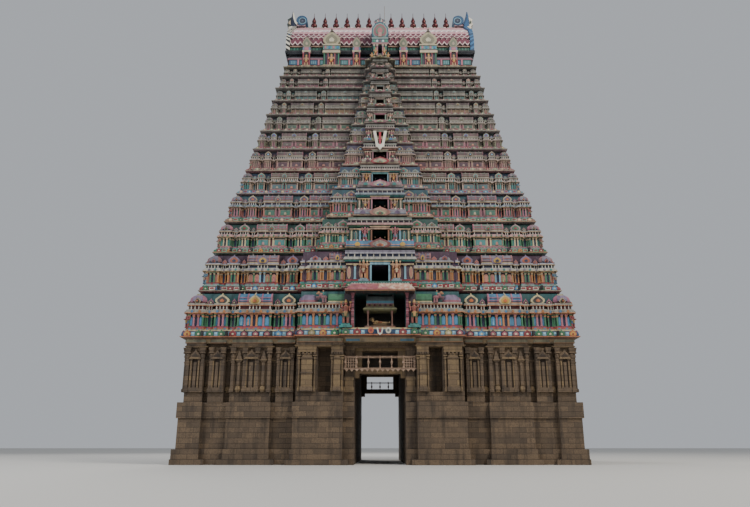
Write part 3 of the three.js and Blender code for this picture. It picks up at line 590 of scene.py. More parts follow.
def lime_paint(name, wear, fade, colour=None):
    """Limewash over stucco: the piece's own paint, or one colour, under dust, rain streaks and chips."""
    material, tree, shader = bare_material(name)
    full, _, height = along_wall(tree)
    if colour is None:
        colour = add_node(tree, "ShaderNodeAttribute", {"attribute_name": "paint"}).outputs["Color"]
    patches = add_node(
        tree, "ShaderNodeTexNoise", (), {"Vector": full, "Scale": 0.9, "Detail": 6.0, "Roughness": 0.65}
    )
    chips = add_node(
        tree, "ShaderNodeTexNoise", (), {"Vector": full, "Scale": 7.0, "Detail": 5.0, "Roughness": 0.7}
    )
    squeezed = add_node(tree, "ShaderNodeMapping", (), {"Vector": full, "Scale": (2.6, 2.6, 0.3)})
    rain = add_node(
        tree, "ShaderNodeTexNoise", (), {"Vector": squeezed.outputs[0], "Scale": 1.0, "Detail": 4.0}
    )
    faded = coat(tree, height, (14.0, 46.0), (0.0, fade), colour, linear("#66696e"))
    dusty = coat(tree, patches.outputs[0], (0.42, 0.72), (0.02, 0.36), faded, linear("#6a6b6e"))
    chipped = coat(tree, chips.outputs[0], (0.60, 0.72), (0.0, 0.45), dusty, linear("#989a9c"))
    streaked = coat(tree, rain.outputs[0], (0.44, 0.74), (0.0, wear), chipped, linear("#1f1e20"))
    surface(tree, shader, streaked, chips.outputs[0], (0.3, 0.7), 0.62, 0.9)
    bump = add_node(
        tree, "ShaderNodeBump", (), {"Height": chips.outputs[0], "Strength": 0.5, "Distance": 0.015}
    )
    tree.links.new(bump.outputs[0], shader.inputs["Normal"])
    return material


paint = lime_paint("painted_lime_stucco", 0.55, 0.22)
cornice_paint = lime_paint("painted_cornice_stucco", 0.6, 0.22)

# Frieze under the lowest cornice: plaster over each stone bay, brown with dust and lamp soot like the
# stone, with traces of old blue paint over the porch.
FRIEZE_FOOT, FRIEZE_FIELD, FRIEZE_TOP = 11.29, 11.36, 11.74
frieze_paint = lime_paint("weathered_frieze_plaster", 0.5, 0.0)
frieze = new_mesh()
for side in (-1, 1):
    for near, far, face in (
        (3.6, 8.0, 13.5), (8.3, 10.0, 12.75), (10.5, 14.4, 12.75), (15.0, 16.5, 12.75), (17.0, 19.0, 12.75)
    ):
        xs = sorted((side * near, side * far))
        block(frieze, (xs[0], -face - 0.2, FRIEZE_FOOT), (xs[1], -face + 0.3, FRIEZE_FIELD), "#95704f")
        block(
            frieze, (xs[0], -face - 0.1, FRIEZE_FIELD), (xs[1], -face + 0.3, FRIEZE_TOP),
            "#937e5e" if near < 8 else "#8d8a74"
        )
        count = max(1, round((far - near) / 1.3))
        for i in range(count):
            x = xs[0] + (i + 0.5) * (xs[1] - xs[0]) / count
            wide = (xs[1] - xs[0]) / count * 0.4
            bar(frieze, x, wide, (-face - 0.14, -face), (11.42, 11.68), ("#8f8a70", "#7d7a64")[i % 2])
bar(frieze, 0, 3.6, (-13.4, -12.6), (11.3, FRIEZE_TOP), "#97825f")
for side in (-1, 1):
    bar(frieze, side * 2.6, 0.66, (-14.02, -13.8), (11.34, 11.62), "#4f7486")
bar(frieze, 0, 1.7, (-13.45, -13.3), (11.4, 11.7), "#6f604a")
finish_pair(frieze, "frieze", FRONT_BACK, [frieze_paint])
flank_frieze = new_mesh()
for near, far in ((-12.75, -11.0), (-3.2, 3.2), (11.0, 12.75)):
    block(flank_frieze, (near, -18.88, FRIEZE_FOOT), (far, -18.4, FRIEZE_FIELD), "#95704f")
    block(flank_frieze, (near, -18.82, FRIEZE_FIELD), (far, -18.4, FRIEZE_TOP), "#806d54")
for near, far in ((-10.4, -3.8), (3.8, 10.4)):
    block(flank_frieze, (near, -18.4, 11.3), (far, -18.1, FRIEZE_TOP), "#5f5848")
finish_pair(flank_frieze, "frieze", LEFT_RIGHT, [frieze_paint], turn=-pi / 2)

# Cornices: thirteen overhanging courses of moulded stucco on the storeys' floor slabs, with a thin lip, a
# swelling painted band and a flat top course, and horseshoe gables and cushions in a row along the band.
STOREYS = 12
CORNICE_Z = [11.83, 16.64, 20.92, 24.56, 28.09, 31.06, 33.94, 36.5, 38.85, 40.92, 42.78, 44.59, 46.1]
CORNICE_X = [19.46, 18.34, 17.42, 16.63, 15.75, 15.05, 14.46, 13.87, 13.37, 12.89, 12.57, 12.21, 11.83]
CORNICE_Y = [13.4 - 0.9 * (CORNICE_X[0] - x) for x in CORNICE_X]
HEIGHTS = [top - foot for foot, top in zip(CORNICE_Z, CORNICE_Z[1:])]
HEIGHTS.append(HEIGHTS[-1])
BAY_OUTER = [7.8, 7.8, 6.0, 5.1, 4.35, 3.65, 3.2, 2.7, 2.3, 1.9, 1.5, 1.3, 1.3]
BAY_INNER = [3.5, 3.4, 3.15, 2.4, 2.0, 1.7, 1.5, 1.35, 1.1, 0.95, 0.85, 0.75, 0.75]
BAY_FORWARD = [0.7, 1.1, 1.4] + [1.5] * 10
LIP, SETBACK, BAND = 0.5, 0.6, 0.16  # a cornice's reach past the bay, a wall's step back, a band's share
DOOR_HALF = [2.5, 0.84, 0.8, 0.8, 0.78, 0.73, 0.66, 0.56, 0.45, 0.39, 0.33, 0.31, 0.31]

WHITE, CREAM, GOLD, ORANGE, RED = "#d9d4c4", "#c9b98e", "#c09a48", "#b9683a", "#8f2f33"
MAROON, PINK, SALMON, MAUVE, BLUE = "#4a1f2a", "#b06f7c", "#b57a68", "#7d6c86", "#3b6f9e"
SKY, NAVY, TEAL, GREEN, LEAF = "#76a5bb", "#1c2747", "#3b837c", "#3d7452", "#7ba088"
DARK, OLIVE, BROWN, GREY = "#1b1a22", "#7d7a4c", "#6b4b35", "#8b8b86"


def tower_outline(level, inset):
    """A storey's edge in plan: a rectangle with a stepped bay forward at the front and at the back."""
    x, y = CORNICE_X[level] - inset, CORNICE_Y[level] - inset
    forward, outer = BAY_FORWARD[level], BAY_OUTER[level] + 0.5 - inset / 2
    inner = BAY_INNER[level] + 0.4 - inset / 2
    front = [
        (-x, -y), (-outer, -y), (-outer, -y - forward), (-inner, -y - forward), (-inner, -y - forward - 0.5)
    ]
    front += [(-px, py) for px, py in reversed(front)]
    return front + [(-px, -py) for px, py in front]


def bay_front(level):
    """How far out the edge of a cornice's central bay stands."""
    return CORNICE_Y[level] + BAY_FORWARD[level] + LIP


def runs_of(outline):
    """The straight stretches of an outline, as (start, end, outward turn)."""
    for first, second in zip(outline, outline[1:] + outline[:1]):
        along = Vector(second) - Vector(first)
        out = Vector((along.y, -along.x)).normalized()
        yield Vector(first), Vector(second), atan2(out.x, -out.y)


def horseshoe(half, foot, top):
    """The outline of a horseshoe gable, as (across, up) points."""
    rise = top - foot
    right = [(0.66, 0.0), (0.98, 0.26), (0.94, 0.52), (0.52, 0.78)]
    points = [(x * half, foot + z * rise) for x, z in right]
    return [(-points[0][0], foot)] + points + [(0.0, top)] + [(-x, z) for x, z in reversed(points[1:])]


def gable(bm, half, foot, top, out, back, ring, disc, heart, x=0.0):
    """A horseshoe gable with a raised ring, a disc and a heart, from a back plane to out before y = 0."""
    rise = top - foot
    for size, low, depth, code in ((1.0, 0.0, 0.0, ring), (0.7, 0.08, 0.35, disc), (0.34, 0.16, 0.7, heart)):
        outline = horseshoe(half * size, foot + rise * low, foot + rise * (low + 0.86 * size))
        if size < 0.5:
            outline = [outline[i] for i in (0, 1, 3, 5, 7)]
        prism(bm, [(u + x, v) for u, v in outline], "y", back, -out * (1 + depth * 0.5), code)
    bar(bm, x, half * 0.1, (-out * 1.15, back), (foot + rise * 0.8, top), ring, taper=0.3)


def little_pot(bm, x, y, z, size, code):
    """A small pot finial."""
    turned(
        bm, [(0.0, z), (size * 0.5, z + size * 0.35), (size * 0.12, z + size * 0.8), (0.0, z + size * 1.7)],
        5, code, centre=(x, y)
    )


def by_level(**columns):
    """Looks listed from the lowest level to the highest, as one set for each level."""
    return [SimpleNamespace(**dict(zip(columns, row))) for row in zip(*columns.values())]


# The undersides of the cornices above the lowest are painted dark, as the shade under each overhang.
cornice_looks = by_level(
    soffit=[
        "#937e5e", "#3a2f33", "#3b3433", "#33373a", "#34343b", "#3a3333", "#4f4c49", "#4f4c49", "#4f4c49",
        "#56524f", "#56524f", "#56524f", "#56524f"
    ],
    under=[
        "#6f5440", "#a86468", "#7a8f80", "#8a8078", "#8c7a80", "#a06c70", "#94757a", "#867a78", "#827670",
        "#86706e", "#7c7870", "#80726c", "#746c58"
    ],
    lip=[
        "#b5724f", "#9d9480", "#a98a66", "#a3866c", "#a89a94", "#a8927c", "#93887a", "#93887a", "#8f8577",
        "#8f8577", "#8c8174", "#8c8174", "#857a5f"
    ],
    band=[
        "#1f4468", "#8c3438", "#24694a", "#8a6a58", "#2f7f8a", "#94535a", "#5f7268", "#6f5f5c", "#586e66",
        "#745d5c", "#5b6b63", "#6a605a", "#6d6449"
    ],
    flat=[
        CREAM, TEAL, TEAL, "#2f8068", TEAL, CREAM, PINK, LEAF, "#9a7f72", "#86917f", "#8f7a70", "#7f8a78",
        "#8a7f62"
    ],
    cushion=[
        "#7fb4cb", WHITE, "#7cc09c", "#9fb59a", "#7f86ad", "#a5b39a", "#9a8b8b", "#8f9a88", "#97908a",
        "#8d9283", "#98918b", "#8c8f83", "#7f7657"
    ],
    gables=[
        [RED, GREEN, ORANGE], [GREEN, BLUE, RED], [RED, ORANGE, MAROON], [SALMON, GREEN, PINK],
        [PINK, BLUE, SALMON], [RED, LEAF, PINK], [OLIVE, RED, TEAL], [PINK, LEAF, OLIVE], [RED, GREY, LEAF],
        [PINK, TEAL, GREY], [RED, LEAF, GREY], [PINK, GREY, TEAL], [OLIVE, BROWN, OLIVE]
    ],
)


def cornice_gable(ring):
    """A horseshoe gable one metre high, for a cornice's band."""
    bm = new_mesh()
    inside = {
        GREEN: "#2a6a48", RED: "#7a2f38", ORANGE: GOLD, MAROON: "#a5606c", BLUE: "#6fa5bd", OLIVE: "#b8ab80"
    }
    gable(bm, 0.56, 0.0, 1.0, 0.1, 0.12, ring, inside.get(ring, CREAM), "#d8c9a8" if ring != ORANGE else RED)
    return as_unit(bm, "cornice_gable")


def cornice_cushion(code, lowest):
    """A pad one metre long with a sunk middle, for a cornice's band. The lowest's pale middle is a painted
    highlight.
    """
    bm = new_mesh()
    bar(bm, 0, 0.5, (-0.05, 0.1), (0.0, 1.0), code, taper=0.84)
    # On the lowest cornice the middle is pale blue, a painted highlight; higher up it is red paint.
    foot, middle = (0.5, "#a9cbd6") if lowest else (0.3, RED)
    bar(bm, 0, 0.36, (-0.075, 0.1), (foot, 0.86), middle, taper=0.8)
    return as_unit(bm, "cornice_cushion")


lowest_band = [
    BLUE, BLUE, RED, GREEN, GREEN, ORANGE, OLIVE, MAROON, MAROON, BLUE, BLUE, MAROON, MAROON, MAROON, RED,
    GREEN, GREEN, GREEN, ORANGE, RED
]
for level, look in enumerate(cornice_looks):
    z, h = CORNICE_Z[level], HEIGHTS[level]
    tall = BAND * h
    below = 0.53 if level == 0 else HEIGHTS[level - 1] * 0.06
    bm = new_mesh()
    steps = [
        (-0.72, z - below), (-0.66, z - below * 0.7), (-0.5, z - below * 0.3), (-0.05, z - 0.02),
        (0.0, z + 0.02), (0.0, z + 0.09), (-0.13, z + 0.1), (-0.1, z + tall * 0.3), (-0.13, z + tall * 0.5),
        (-0.22, z + tall * 0.68), (-0.34, z + tall * 0.78), (-0.3, z + tall * 0.8), (-0.3, z + tall * 0.92),
        (-0.42, z + tall * 0.93), (-0.42, z + tall)
    ]
    codes = [look.soffit] * 2 + [look.under] + [look.lip] * 3 + [look.band] * 4 + [look.flat] * 4
    moulding(bm, tower_outline(level, 0.0), steps, codes)
    gables = [cornice_gable(ring) for ring in (lowest_band if level == 0 else look.gables)]
    cushion = cornice_cushion(look.cushion, level == 0)
    step = 1.16 if level == 0 else max(0.8, 0.3 * h)
    for start, end, turn in runs_of(tower_outline(level, 0.14)):
        length = (end - start).length
        if length < 0.45:
            continue
        count = max(1, round(length / step))
        for i in range(count):
            spot = start.lerp(end, (i + 0.5) / count)
            if level > 1 and abs(spot.x) < DOOR_HALF[level] + 0.4 and abs(spot.y) > CORNICE_Y[level]:
                continue
            if level == 0 and abs(spot.x) < 1.4 and abs(spot.y) > CORNICE_Y[0]:
                continue
            kind = i % 3 if level else min(int(abs(spot.x)), len(gables) - 1)
            size = tall * (0.75 if level else 0.86)
            put(bm, gables[kind], (*spot, z + 0.1), turn, (size, 1.0, size))
        for i in range(count - 1):
            spot = start.lerp(end, (i + 1) / count)
            if level == 0 and abs(spot.x) < 1.2 and abs(spot.y) > CORNICE_Y[0]:
                continue
            put(bm, cushion, (*spot, z + 0.14), turn, (length / count - tall * 0.95, 1.0, tall * 0.44))
    # Near-black strips across the band of the lowest three cornices at the breaks between bays: painted
    # shade.
    if level < 3:
        for side in (-1, 1):
            for share in (0.884, 0.762, 0.54):
                x = side * share * CORNICE_X[level]
                near = CORNICE_Y[level] + 0.5
                for low, high in ((-near - 0.02, -near + 0.4), (near - 0.4, near + 0.02)):
                    bar(bm, x, 0.1, (low, high), (z + 0.1, z + tall * 0.68), "#06080c")
    if level > 1:
        face = bay_front(level)
        wide, rise = (0.3, 0.14) if level < 7 else (0.16, 0.02)
        half, top = DOOR_HALF[level] + wide, z + tall + rise * h
        crest = new_mesh()
        ring, disc, inside = look.gables[0], look.lip, CREAM
        if level == 2:
            ring, disc, inside = "#7f4440", "#8f8578", "#9aa09a"
        gable(crest, half, z - 0.02, top, 0.11, 0.45, ring, disc, DARK)
        gable(crest, half * 0.5, z + 0.02, z + tall * 0.95, 0.17, 0.3, inside, look.gables[1], RED)
        for side in (-1, 1):
            for i in range(3):
                little_pot(
                    crest, side * half * (0.45 + 0.3 * i), -0.06, top - (0.12 + 0.3 * i) * (top - z),
                    tall * 0.2, look.lip
                )
        crest = as_unit(crest, "bay_gable")
        put(bm, crest, (0, -face, 0))
        put(bm, crest, (0, face, 0), pi)
    if level == 1:
        for face in (-bay_front(1), bay_front(1)):
            low, high = sorted((face, face * 0.97))
            bar(bm, 0, 2.9, (low - 0.03, high + 0.03), (z + 0.34, z + 0.62), "#23645a")
            for i in range(22):
                x = -2.75 + i * 5.5 / 21
                bar(bm, x, 0.08, (low - 0.07, high + 0.07), (z + 0.38, z + 0.52), "#b9d0c4", taper=0.7)
    piece = finish_piece(bm, f"cornice_{level + 1:02d}_moulded", [cornice_paint])
    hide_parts(f"cornice_{level + 1:02d}")

# Storeys: rows of small stucco shrines before a brick wall. Each has a plinth, pilasters and panels, a
# rounded eave, a neck with balusters and its own roof: domes at the corners, barrels and gables between.
storey_looks = by_level(
    # The wall behind each storey's shrines is painted in a dark tone, as the shade in the recesses.
    recess=[
        "#1f5557", "#43243a", "#1c4a40", "#1d4a55", "#233f58", "#3a2c4a", "#24403c", "#2a3a4c", "#3c2c2c",
        "#1f4042", "#2b2829", "#2a2927"
    ],
    wall=[
        "#1f2c55", "#4b2c3a", "#244b48", "#254538", "#27343a", "#3d2a33", "#332f36", "#2a342e", "#3f3226",
        "#26393a", "#42292f", "#3b3029"
    ],
    panel=[
        "#4a86ab", SALMON, "#3f8380", "#376b58", "#48676b", "#4f2c3a", "#5c5246", "#3f5c48", "#7a5c38",
        "#3d6460", "#74434a", "#6e4a3f"
    ],
    frame=[
        TEAL, CREAM, "#c8a78f", "#a98a76", "#a9857a", "#a9857a", PINK, "#a08c7c", "#a58c74", "#9c7478",
        "#a08c7c", "#967c5c"
    ],
    posts=[
        [GREEN, PINK, "#b8794a"], ["#b57b45", GREEN, "#7fa9b8"], [GREEN, CREAM, SKY],
        ["#a9655a", PINK, "#b8a48c"], ["#b59a86", TEAL, "#a9857a"], ["#b08078", "#a98a76", "#5b7f8c"],
        ["#7d7a5c", "#a57078", "#a99a86"], ["#8f8070", "#a06a70", "#4f7560"],
        ["#7f8070", "#9c6a6e", "#8c7660"], ["#86806f", "#6c8a78", "#8c6c66"],
        ["#827c6c", "#96646a", "#6f7c70"], ["#7f7a6a", "#8c6460", "#6b766c"]
    ],
    base=[
        "#a8703f", TEAL, GREEN, TEAL, TEAL, SALMON, "#9a7078", "#866a70", "#6c6a72", "#74646a", "#686c66",
        "#6c6658"
    ],
    lotus=[
        "#9c4552", RED, PINK, "#97505a", "#9c6a72", "#8a4a50", "#85545a", "#8a5d5f", "#7d5658", "#7f6260",
        "#7a5f5c", "#7a5c55"
    ],
    beam=[
        "#c08660", "#b8a27e", "#b99a7a", "#a98f70", "#a08a72", "#a3907c", "#9a8b78", "#958977", "#938774",
        "#8f8473", "#8d8271", "#8a7f6c"
    ],
    eave=[
        "#8f8a7d", "#a9a69c", "#b28a86", "#7f8c94", "#a5928a", "#9c8478", "#8f7c76", "#85786e", "#7f766c",
        "#7f786f", "#7d776e", "#7a766b"
    ],
    neck=[
        "#5a2226", NAVY, "#3a2a3a", "#57455f", "#3b3140", "#2c4470", "#3a2d35", "#332f3a", "#2f2e33",
        "#33292e", "#2d2b30", "#2e2b2b"
    ],
    cap=[
        "#9a9587", "#9b97a0", "#8f8b83", "#958f8a", "#8e8a83", "#8a877c", "#86837a", "#84817a", "#807e76",
        "#7f7c75", "#7c7a73", "#79776d"
    ],
    roof=[
        "#47799c", "#77707e", "#6f7f73", "#6a6872", "#6c6a5c", "#666a60", "#6b655a", "#69645c", "#65645c",
        "#68645e", "#66645e", "#68645c"
    ],
    rib=[
        "#a4677a", "#9c6c6c", PINK, "#96606a", "#8f6a6c", "#8c5a64", "#8f646c", "#866468", "#826468",
        "#6c7670", "#806264", "#7a6462"
    ],
    dome=[
        MAUVE, "#7a7280", "#8a6f78", "#70707e", "#7a6f78", "#75706c", "#73706c", "#6f726b", "#70706a",
        "#6f716c", "#6f706a", "#6e6e66"
    ],
    ring=[
        CREAM, MAUVE, "#a58a8a", "#a79a80", "#9d9180", "#a0957c", "#98907e", "#928b7c", "#908a7a", "#8e8879",
        "#8c8678", "#8a8474"
    ],
    disc=["#3a3433", "#a5573b", GREEN, "#5d4a66", TEAL, MAROON, BLUE, GREEN, OLIVE, TEAL, RED, BROWN],
    heart=[ORANGE, NAVY, RED, ORANGE, RED, SKY, RED, PINK, RED, PINK, CREAM, CREAM],
    niches=[True] * 4 + [False] * 8,
)


def even_row(half, count):
    """The middles of count equal parts of a run that is centred on 0, each with its number."""
    return [(i, -half + (i + 0.5) * 2 * half / count) for i in range(count)]


def baluster(tall, wide, round_form):
    """A white neck baluster that stands on z = 0."""
    bm = new_mesh()
    if round_form:
        line = [(0.0, 0.0), (0.5, 0.0), (0.28, 0.25), (0.46, 0.5), (0.26, 0.78), (0.5, 1.0), (0.0, 1.0)]
        turned(bm, [(r * wide, z * tall) for r, z in line], 5, WHITE)
    else:
        bar(bm, 0, wide * 0.4, (-wide * 0.4, wide * 0.4), (0.0, tall), WHITE)
    return as_unit(bm, "baluster")


def figure_unit(skin, cloth, trim, lift=0.0):
    """A standing guardian one metre tall facing -Y: bent legs, waist cloth, raised arm and tall crown."""
    bm = new_mesh()
    for side in (-1, 1):
        bar(bm, side * 0.1, 0.05, (-0.12, 0.06), (0.0, 0.05), skin)
        bar(bm, side * 0.1, 0.045, (-0.07, 0.04), (0.04, 0.26), skin, taper=1.25)
        bar(bm, side * 0.075, 0.065, (-0.09, 0.05), (0.24, 0.44), cloth, taper=0.95)
    body = [
        (0.0, 0.4), (0.15, 0.41), (0.14, 0.47), (0.095, 0.53), (0.14, 0.64), (0.15, 0.7), (0.06, 0.74),
        (0.05, 0.77), (0.0, 0.77)
    ]
    turned(bm, body, 7, [trim, trim, skin, skin, skin, trim, skin, skin])
    turned(bm, [(0.0, 0.76), (0.06, 0.78), (0.075, 0.83), (0.065, 0.875), (0.0, 0.88)], 7, skin)
    turned(bm, [(0.0, 0.86), (0.085, 0.865), (0.08, 0.89), (0.06, 0.95), (0.03, 1.0), (0.0, 1.0)], 6, trim)
    for side in (-1, 1):
        bar(bm, side * 0.185, 0.035, (-0.04, 0.04), (0.53, 0.71), skin)
        low, high = (0.5, 0.56) if side < 0 or not lift else (0.64, 0.7)
        bar(bm, side * 0.2, 0.035, (-0.17, 0.02), (low, high), skin)
        if lift:
            bar(bm, side * 0.23, 0.03, (-0.02, 0.05), (0.66, 0.86), skin)
            bar(bm, side * 0.23, 0.05, (-0.04, 0.06), (0.85, 0.92), trim)
    bar(bm, 0, 0.05, (-0.16, -0.06), (0.28, 0.47), trim, taper=1.4)
    return as_unit(bm, "guardian")


def shrine_row_unit(half, deep, h, s, look, roof, posts, seed):
    """One small shrine of a storey: its wall plane is y = 0 and its storey's foot is z = 0."""
    bm = new_mesh()
    rows = random.Random(seed + round(1000 * half))

    def out(share, least=0.02):
        return max(share * s, least)

    def part(x, wide, front, low, high, code, taper=1.0, back=0.0):
        bar(bm, x, wide, (-front, back), (low * h, high * h), code, taper)

    def course(wide, front, low, high, code, taper=1.0):
        part(0, wide, front, low, high, code, taper, deep)

    course(half + out(0.1), out(0.28), 0.15, 0.172, look.eave)
    course(half + out(0.06), out(0.22), 0.17, 0.2, look.base)
    if s > 0.55:
        count = max(2, round(half * 2 / (0.42 * s)))
        for i, x in even_row(half, count):
            code = (look.roof, look.lotus)[i % 2]
            part(x, 0.11 * s, 0.26 * s, 0.173, 0.197, code)
    course(half + out(0.06), out(0.2), 0.199, 0.23, look.lotus, taper=1.03)
    course(half, out(0.05), 0.225, 0.48, look.wall)
    wide = out(0.16, 0.055)
    edge = half - wide / 2
    spots = [-edge + i * 2 * edge / (posts - 1) for i in range(posts)] if posts > 1 else [0.0]
    paired = roof == "barrel" and posts == 4 and s < 0.8
    narrow = paired or (look.niches and posts % 2 == 0 and posts > 4)
    if narrow:
        near = max(0.16 * s, 0.1) + wide / 2
        pairs = posts // 2 - 1
        right = [near + i * (edge - near) / pairs for i in range(pairs + 1)]
        spots = [-x for x in reversed(right)] + right
    for i, x in enumerate(spots):
        code = look.posts[(min(i, posts - 1 - i)) % 3]
        part(x, wide / 2, out(0.2, 0.06), 0.23, 0.42, code)
        if s > 0.45:
            part(x, wide * 0.68, 0.24 * s, 0.23, 0.258, code)
        part(x, wide * 0.5, out(0.21, 0.07), 0.42, 0.452, look.beam, taper=1.6)
        part(x, wide * 0.75, out(0.27, 0.08), 0.452, 0.478, code)
    for i, (a, b) in enumerate(zip(spots, spots[1:])):
        middle, gap = (a + b) / 2, (b - a) / 2 - wide * 0.5
        if gap < 0.04:
            continue
        blank = posts % 2 == 0 and i == posts // 2 - 1
        if paired and not blank:
            part(middle, gap, out(0.12), 0.245, 0.435, look.frame)
            part(middle, gap * 0.84, out(0.15), 0.262, 0.418, look.panel)
            part(
                middle, gap * 0.24, out(0.22), 0.27, 0.36,
                rows.choice([look.ring, look.eave, SALMON]), taper=0.6
            )
        elif look.niches and gap > 0.14 and not blank:
            arch = [
                (-gap, 0.245), (gap, 0.245), (gap, 0.38), (gap * 0.6, 0.425), (0, 0.44), (-gap * 0.6, 0.425),
                (-gap, 0.38)
            ]
            prism(bm, [(middle + x, z * h) for x, z in arch], "y", 0.0, -out(0.11), look.frame)
            prism(
                bm, [(middle + x * 0.76, (0.005 + z * 0.985) * h) for x, z in arch], "y", 0.0, -out(0.13),
                look.panel
            )
            if gap > 0.24 and rows.random() < 0.7:
                skin = rows.choice([SKY, "#c28a6a", "#a9626a", "#8aa06c"])
                part(middle, gap * 0.3, 0.2 * s, 0.25, 0.34, skin, taper=0.7)
                part(middle, gap * 0.16, 0.2 * s, 0.345, 0.378, skin)
        else:
            code = "#5a2434" if blank and paired else NAVY if blank and look.niches else look.panel
            part(middle, gap, out(0.08), 0.24, 0.44, code)
    course(half + out(0.03), out(0.26, 0.08), 0.476, 0.499, look.beam)
    lip = out(0.46, 0.19)
    course(half + lip * 0.62, lip, 0.497, 0.512, look.beam)
    course(half + lip * 0.56, lip * 0.94, 0.512, 0.545, look.eave, taper=0.97)
    course(half + lip * 0.4, lip * 0.74, 0.545, 0.582, look.eave, taper=0.9)
    if s > 0.6:
        count = max(1, round(half / (0.36 * s)))
        for i, x in even_row(half, count):
            outline = [(x + u, v) for u, v in horseshoe(0.13 * s, 0.505 * h, 0.567 * h)]
            prism(bm, outline, "y", 0.0, -lip - 0.03, look.rib, (look.roof, look.base)[i % 2])
    course(half - 0.02, out(0.05), 0.58, 0.664, look.neck)
    count = max(2, round(half * 2 / (0.34 * s)))
    unit = baluster(0.078 * h, out(0.15, 0.05), s > 0.7)
    for i, x in even_row(half, count):
        if roof == "barrel" and s > 0.7 and 0.22 * half < abs(x) < 0.8 * half and i % 3:
            continue
        put(bm, unit, (x, -out(0.14, 0.05), 0.583 * h))
    bpy.data.meshes.remove(unit)
    course(half + out(0.1), out(0.26, 0.07), 0.66, 0.676, look.beam)
    course(half + out(0.12), out(0.28, 0.08), 0.676, 0.706, look.cap, taper=0.93)
    top = 0.93 * h
    if roof == "gable":
        gable(bm, half * 1.04, 0.7 * h, top, out(0.2, 0.05), deep, look.ring, look.disc, look.heart)
    elif roof == "barrel":
        section = [
            (deep, 0.7), (-0.1 * s, 0.7), (-0.26 * s, 0.75), (-0.25 * s, 0.81), (-0.08 * s, 0.87),
            (deep * 0.5, 0.92), (deep, 0.93)
        ]
        line = [(y, z * h) for y, z in section]
        prism(bm, line, "x", -half, half, look.roof, look.rib)
        ribs = [-0.97, -0.42, 0.42, 0.97] if half > 0.5 else [-0.95, 0.95]
        for x in ribs:
            near, far = x * half - 0.06 * s - 0.01, x * half + 0.06 * s + 0.01
            prism(bm, [(y - 0.05 * s, z + 0.004 * h) for y, z in line], "x", near, far, look.rib)
        part(0, half, out(0.27, 0.1), 0.705, 0.725, look.beam)
        for share, reach in ((0.75, 0.3), (0.815, 0.29)):
            bar(bm, 0, half, (-reach * s - 0.02, 0.0), (share * h, (share + 0.014) * h), look.rib)
        broad = min(half * 0.36, 0.9 * s) if s > 0.8 else min(half * 0.2, 0.55 * s)
        gable(
            bm, broad, 0.69 * h, 0.915 * h if s > 0.8 else 0.89 * h, out(0.36, 0.12), 0.1, look.ring,
            GOLD if s > 0.8 else look.disc, look.heart
        )
        for i in range(3 if half > 0.4 else 1):
            x = (i - 1) * half * 0.7 if half > 0.4 else 0.0
            little_pot(bm, x, deep * 0.5, 0.91 * h, 0.2 * s, "#bdb5a2")
    elif roof == "little":
        course(half, out(0.1), 0.7, 0.76, look.dome, taper=0.9)
        gable(bm, half * 0.95, 0.7 * h, 0.83 * h, out(0.14, 0.04), 0.1, look.rib, look.disc, look.ring)
    return as_unit(bm, "shrine")


def corner_shrine(size, h, s, look, seed):
    """The square corner shrine: four fronts about its middle, a ribbed dome and a pot."""
    bm = new_mesh()
    half = size / 2
    front = shrine_row_unit(half, half, h, s, look, "none", 4 if s > 0.45 else 3, seed)
    for turn in (i * pi / 2 for i in range(4)):
        put(bm, front, (half * sin(turn), -half * cos(turn), 0), turn)
    bpy.data.meshes.remove(front)
    cut = half * 0.36
    plan = [(cut - half, -half), (half - cut, -half), (half, cut - half), (half, half - cut)]
    plan += [(-x, -y) for x, y in plan]
    steps = [
        (0.0, 0.7), (0.02, 0.712), (0.0, 0.74), (0.1, 0.76), (0.12, 0.8), (0.05, 0.84), (-0.25, 0.885),
        (-0.55, 0.908), (-0.62, 0.925), (-0.8, 0.935)
    ]
    before = set(bm.faces)
    codes = [look.beam, look.neck, look.neck] + [look.dome] * 4 + [look.ring] * 3
    moulding(bm, plan, [(out * half, z * h) for out, z in steps], codes)
    ribs = [
        f for f in bm.faces if f not in before and f.calc_center_median().z > 0.75 * h
        and abs(abs(f.normal.x) - abs(f.normal.y)) < 0.25 and abs(f.normal.z) < 0.9
    ]
    tint(bm, ribs, look.rib)
    for i in range(4):
        piece = new_mesh()
        gable(piece, half * 0.4, 0.72 * h, 0.85 * h, half * 1.16, 0.0, look.ring, look.disc, look.heart)
        unit = as_unit(piece, "dome_gable")
        put(bm, unit, (0, 0, 0), i * pi / 2)
        bpy.data.meshes.remove(unit)
    little_pot(bm, 0, 0, 0.925 * h, 0.26 * s, look.ring)
    return as_unit(bm, "corner_shrine")


CORNER_SHARES = 0.079, 0.044


def wing_share(lowest, highest, level):
    """A share of the half width that changes from the lowest storeys to the highest."""
    return lowest + (highest - lowest) * (1 - max(0, 1 - level / (STOREYS - 2)) ** 1.8)


def wing_spans(level, half, centre):
    """Where an edge's shrines stand, as (kind, from, to) inward from its corner."""
    wide = CORNICE_X[level] - SETBACK
    shares = [
        ("gable", 0.134, 0.206, 0.088, 0.128), ("barrel", 0.255, 0.433, 0.17, 0.382),
        ("gable", 0.487, 0.556, 0.428, 0.473)
    ]
    spans = [
        (kind, wide * wing_share(a, c, level), wide * wing_share(b, d, level)) for kind, a, b, c, d in shares
    ]
    fit = min(1, (half - centre - 0.3) / (spans[-1][2] + 0.3))
    spans = [(kind, half - fit * a, half - fit * b) for kind, a, b in spans]
    rest = (spans[-1][2] - 0.15, centre + 0.15)
    if level >= 2 and rest[0] - rest[1] > 0.5:
        spans.append(("barrel", *rest))
    elif rest[0] - rest[1] > 0.35:
        spans.append(("little", *rest))
    return spans


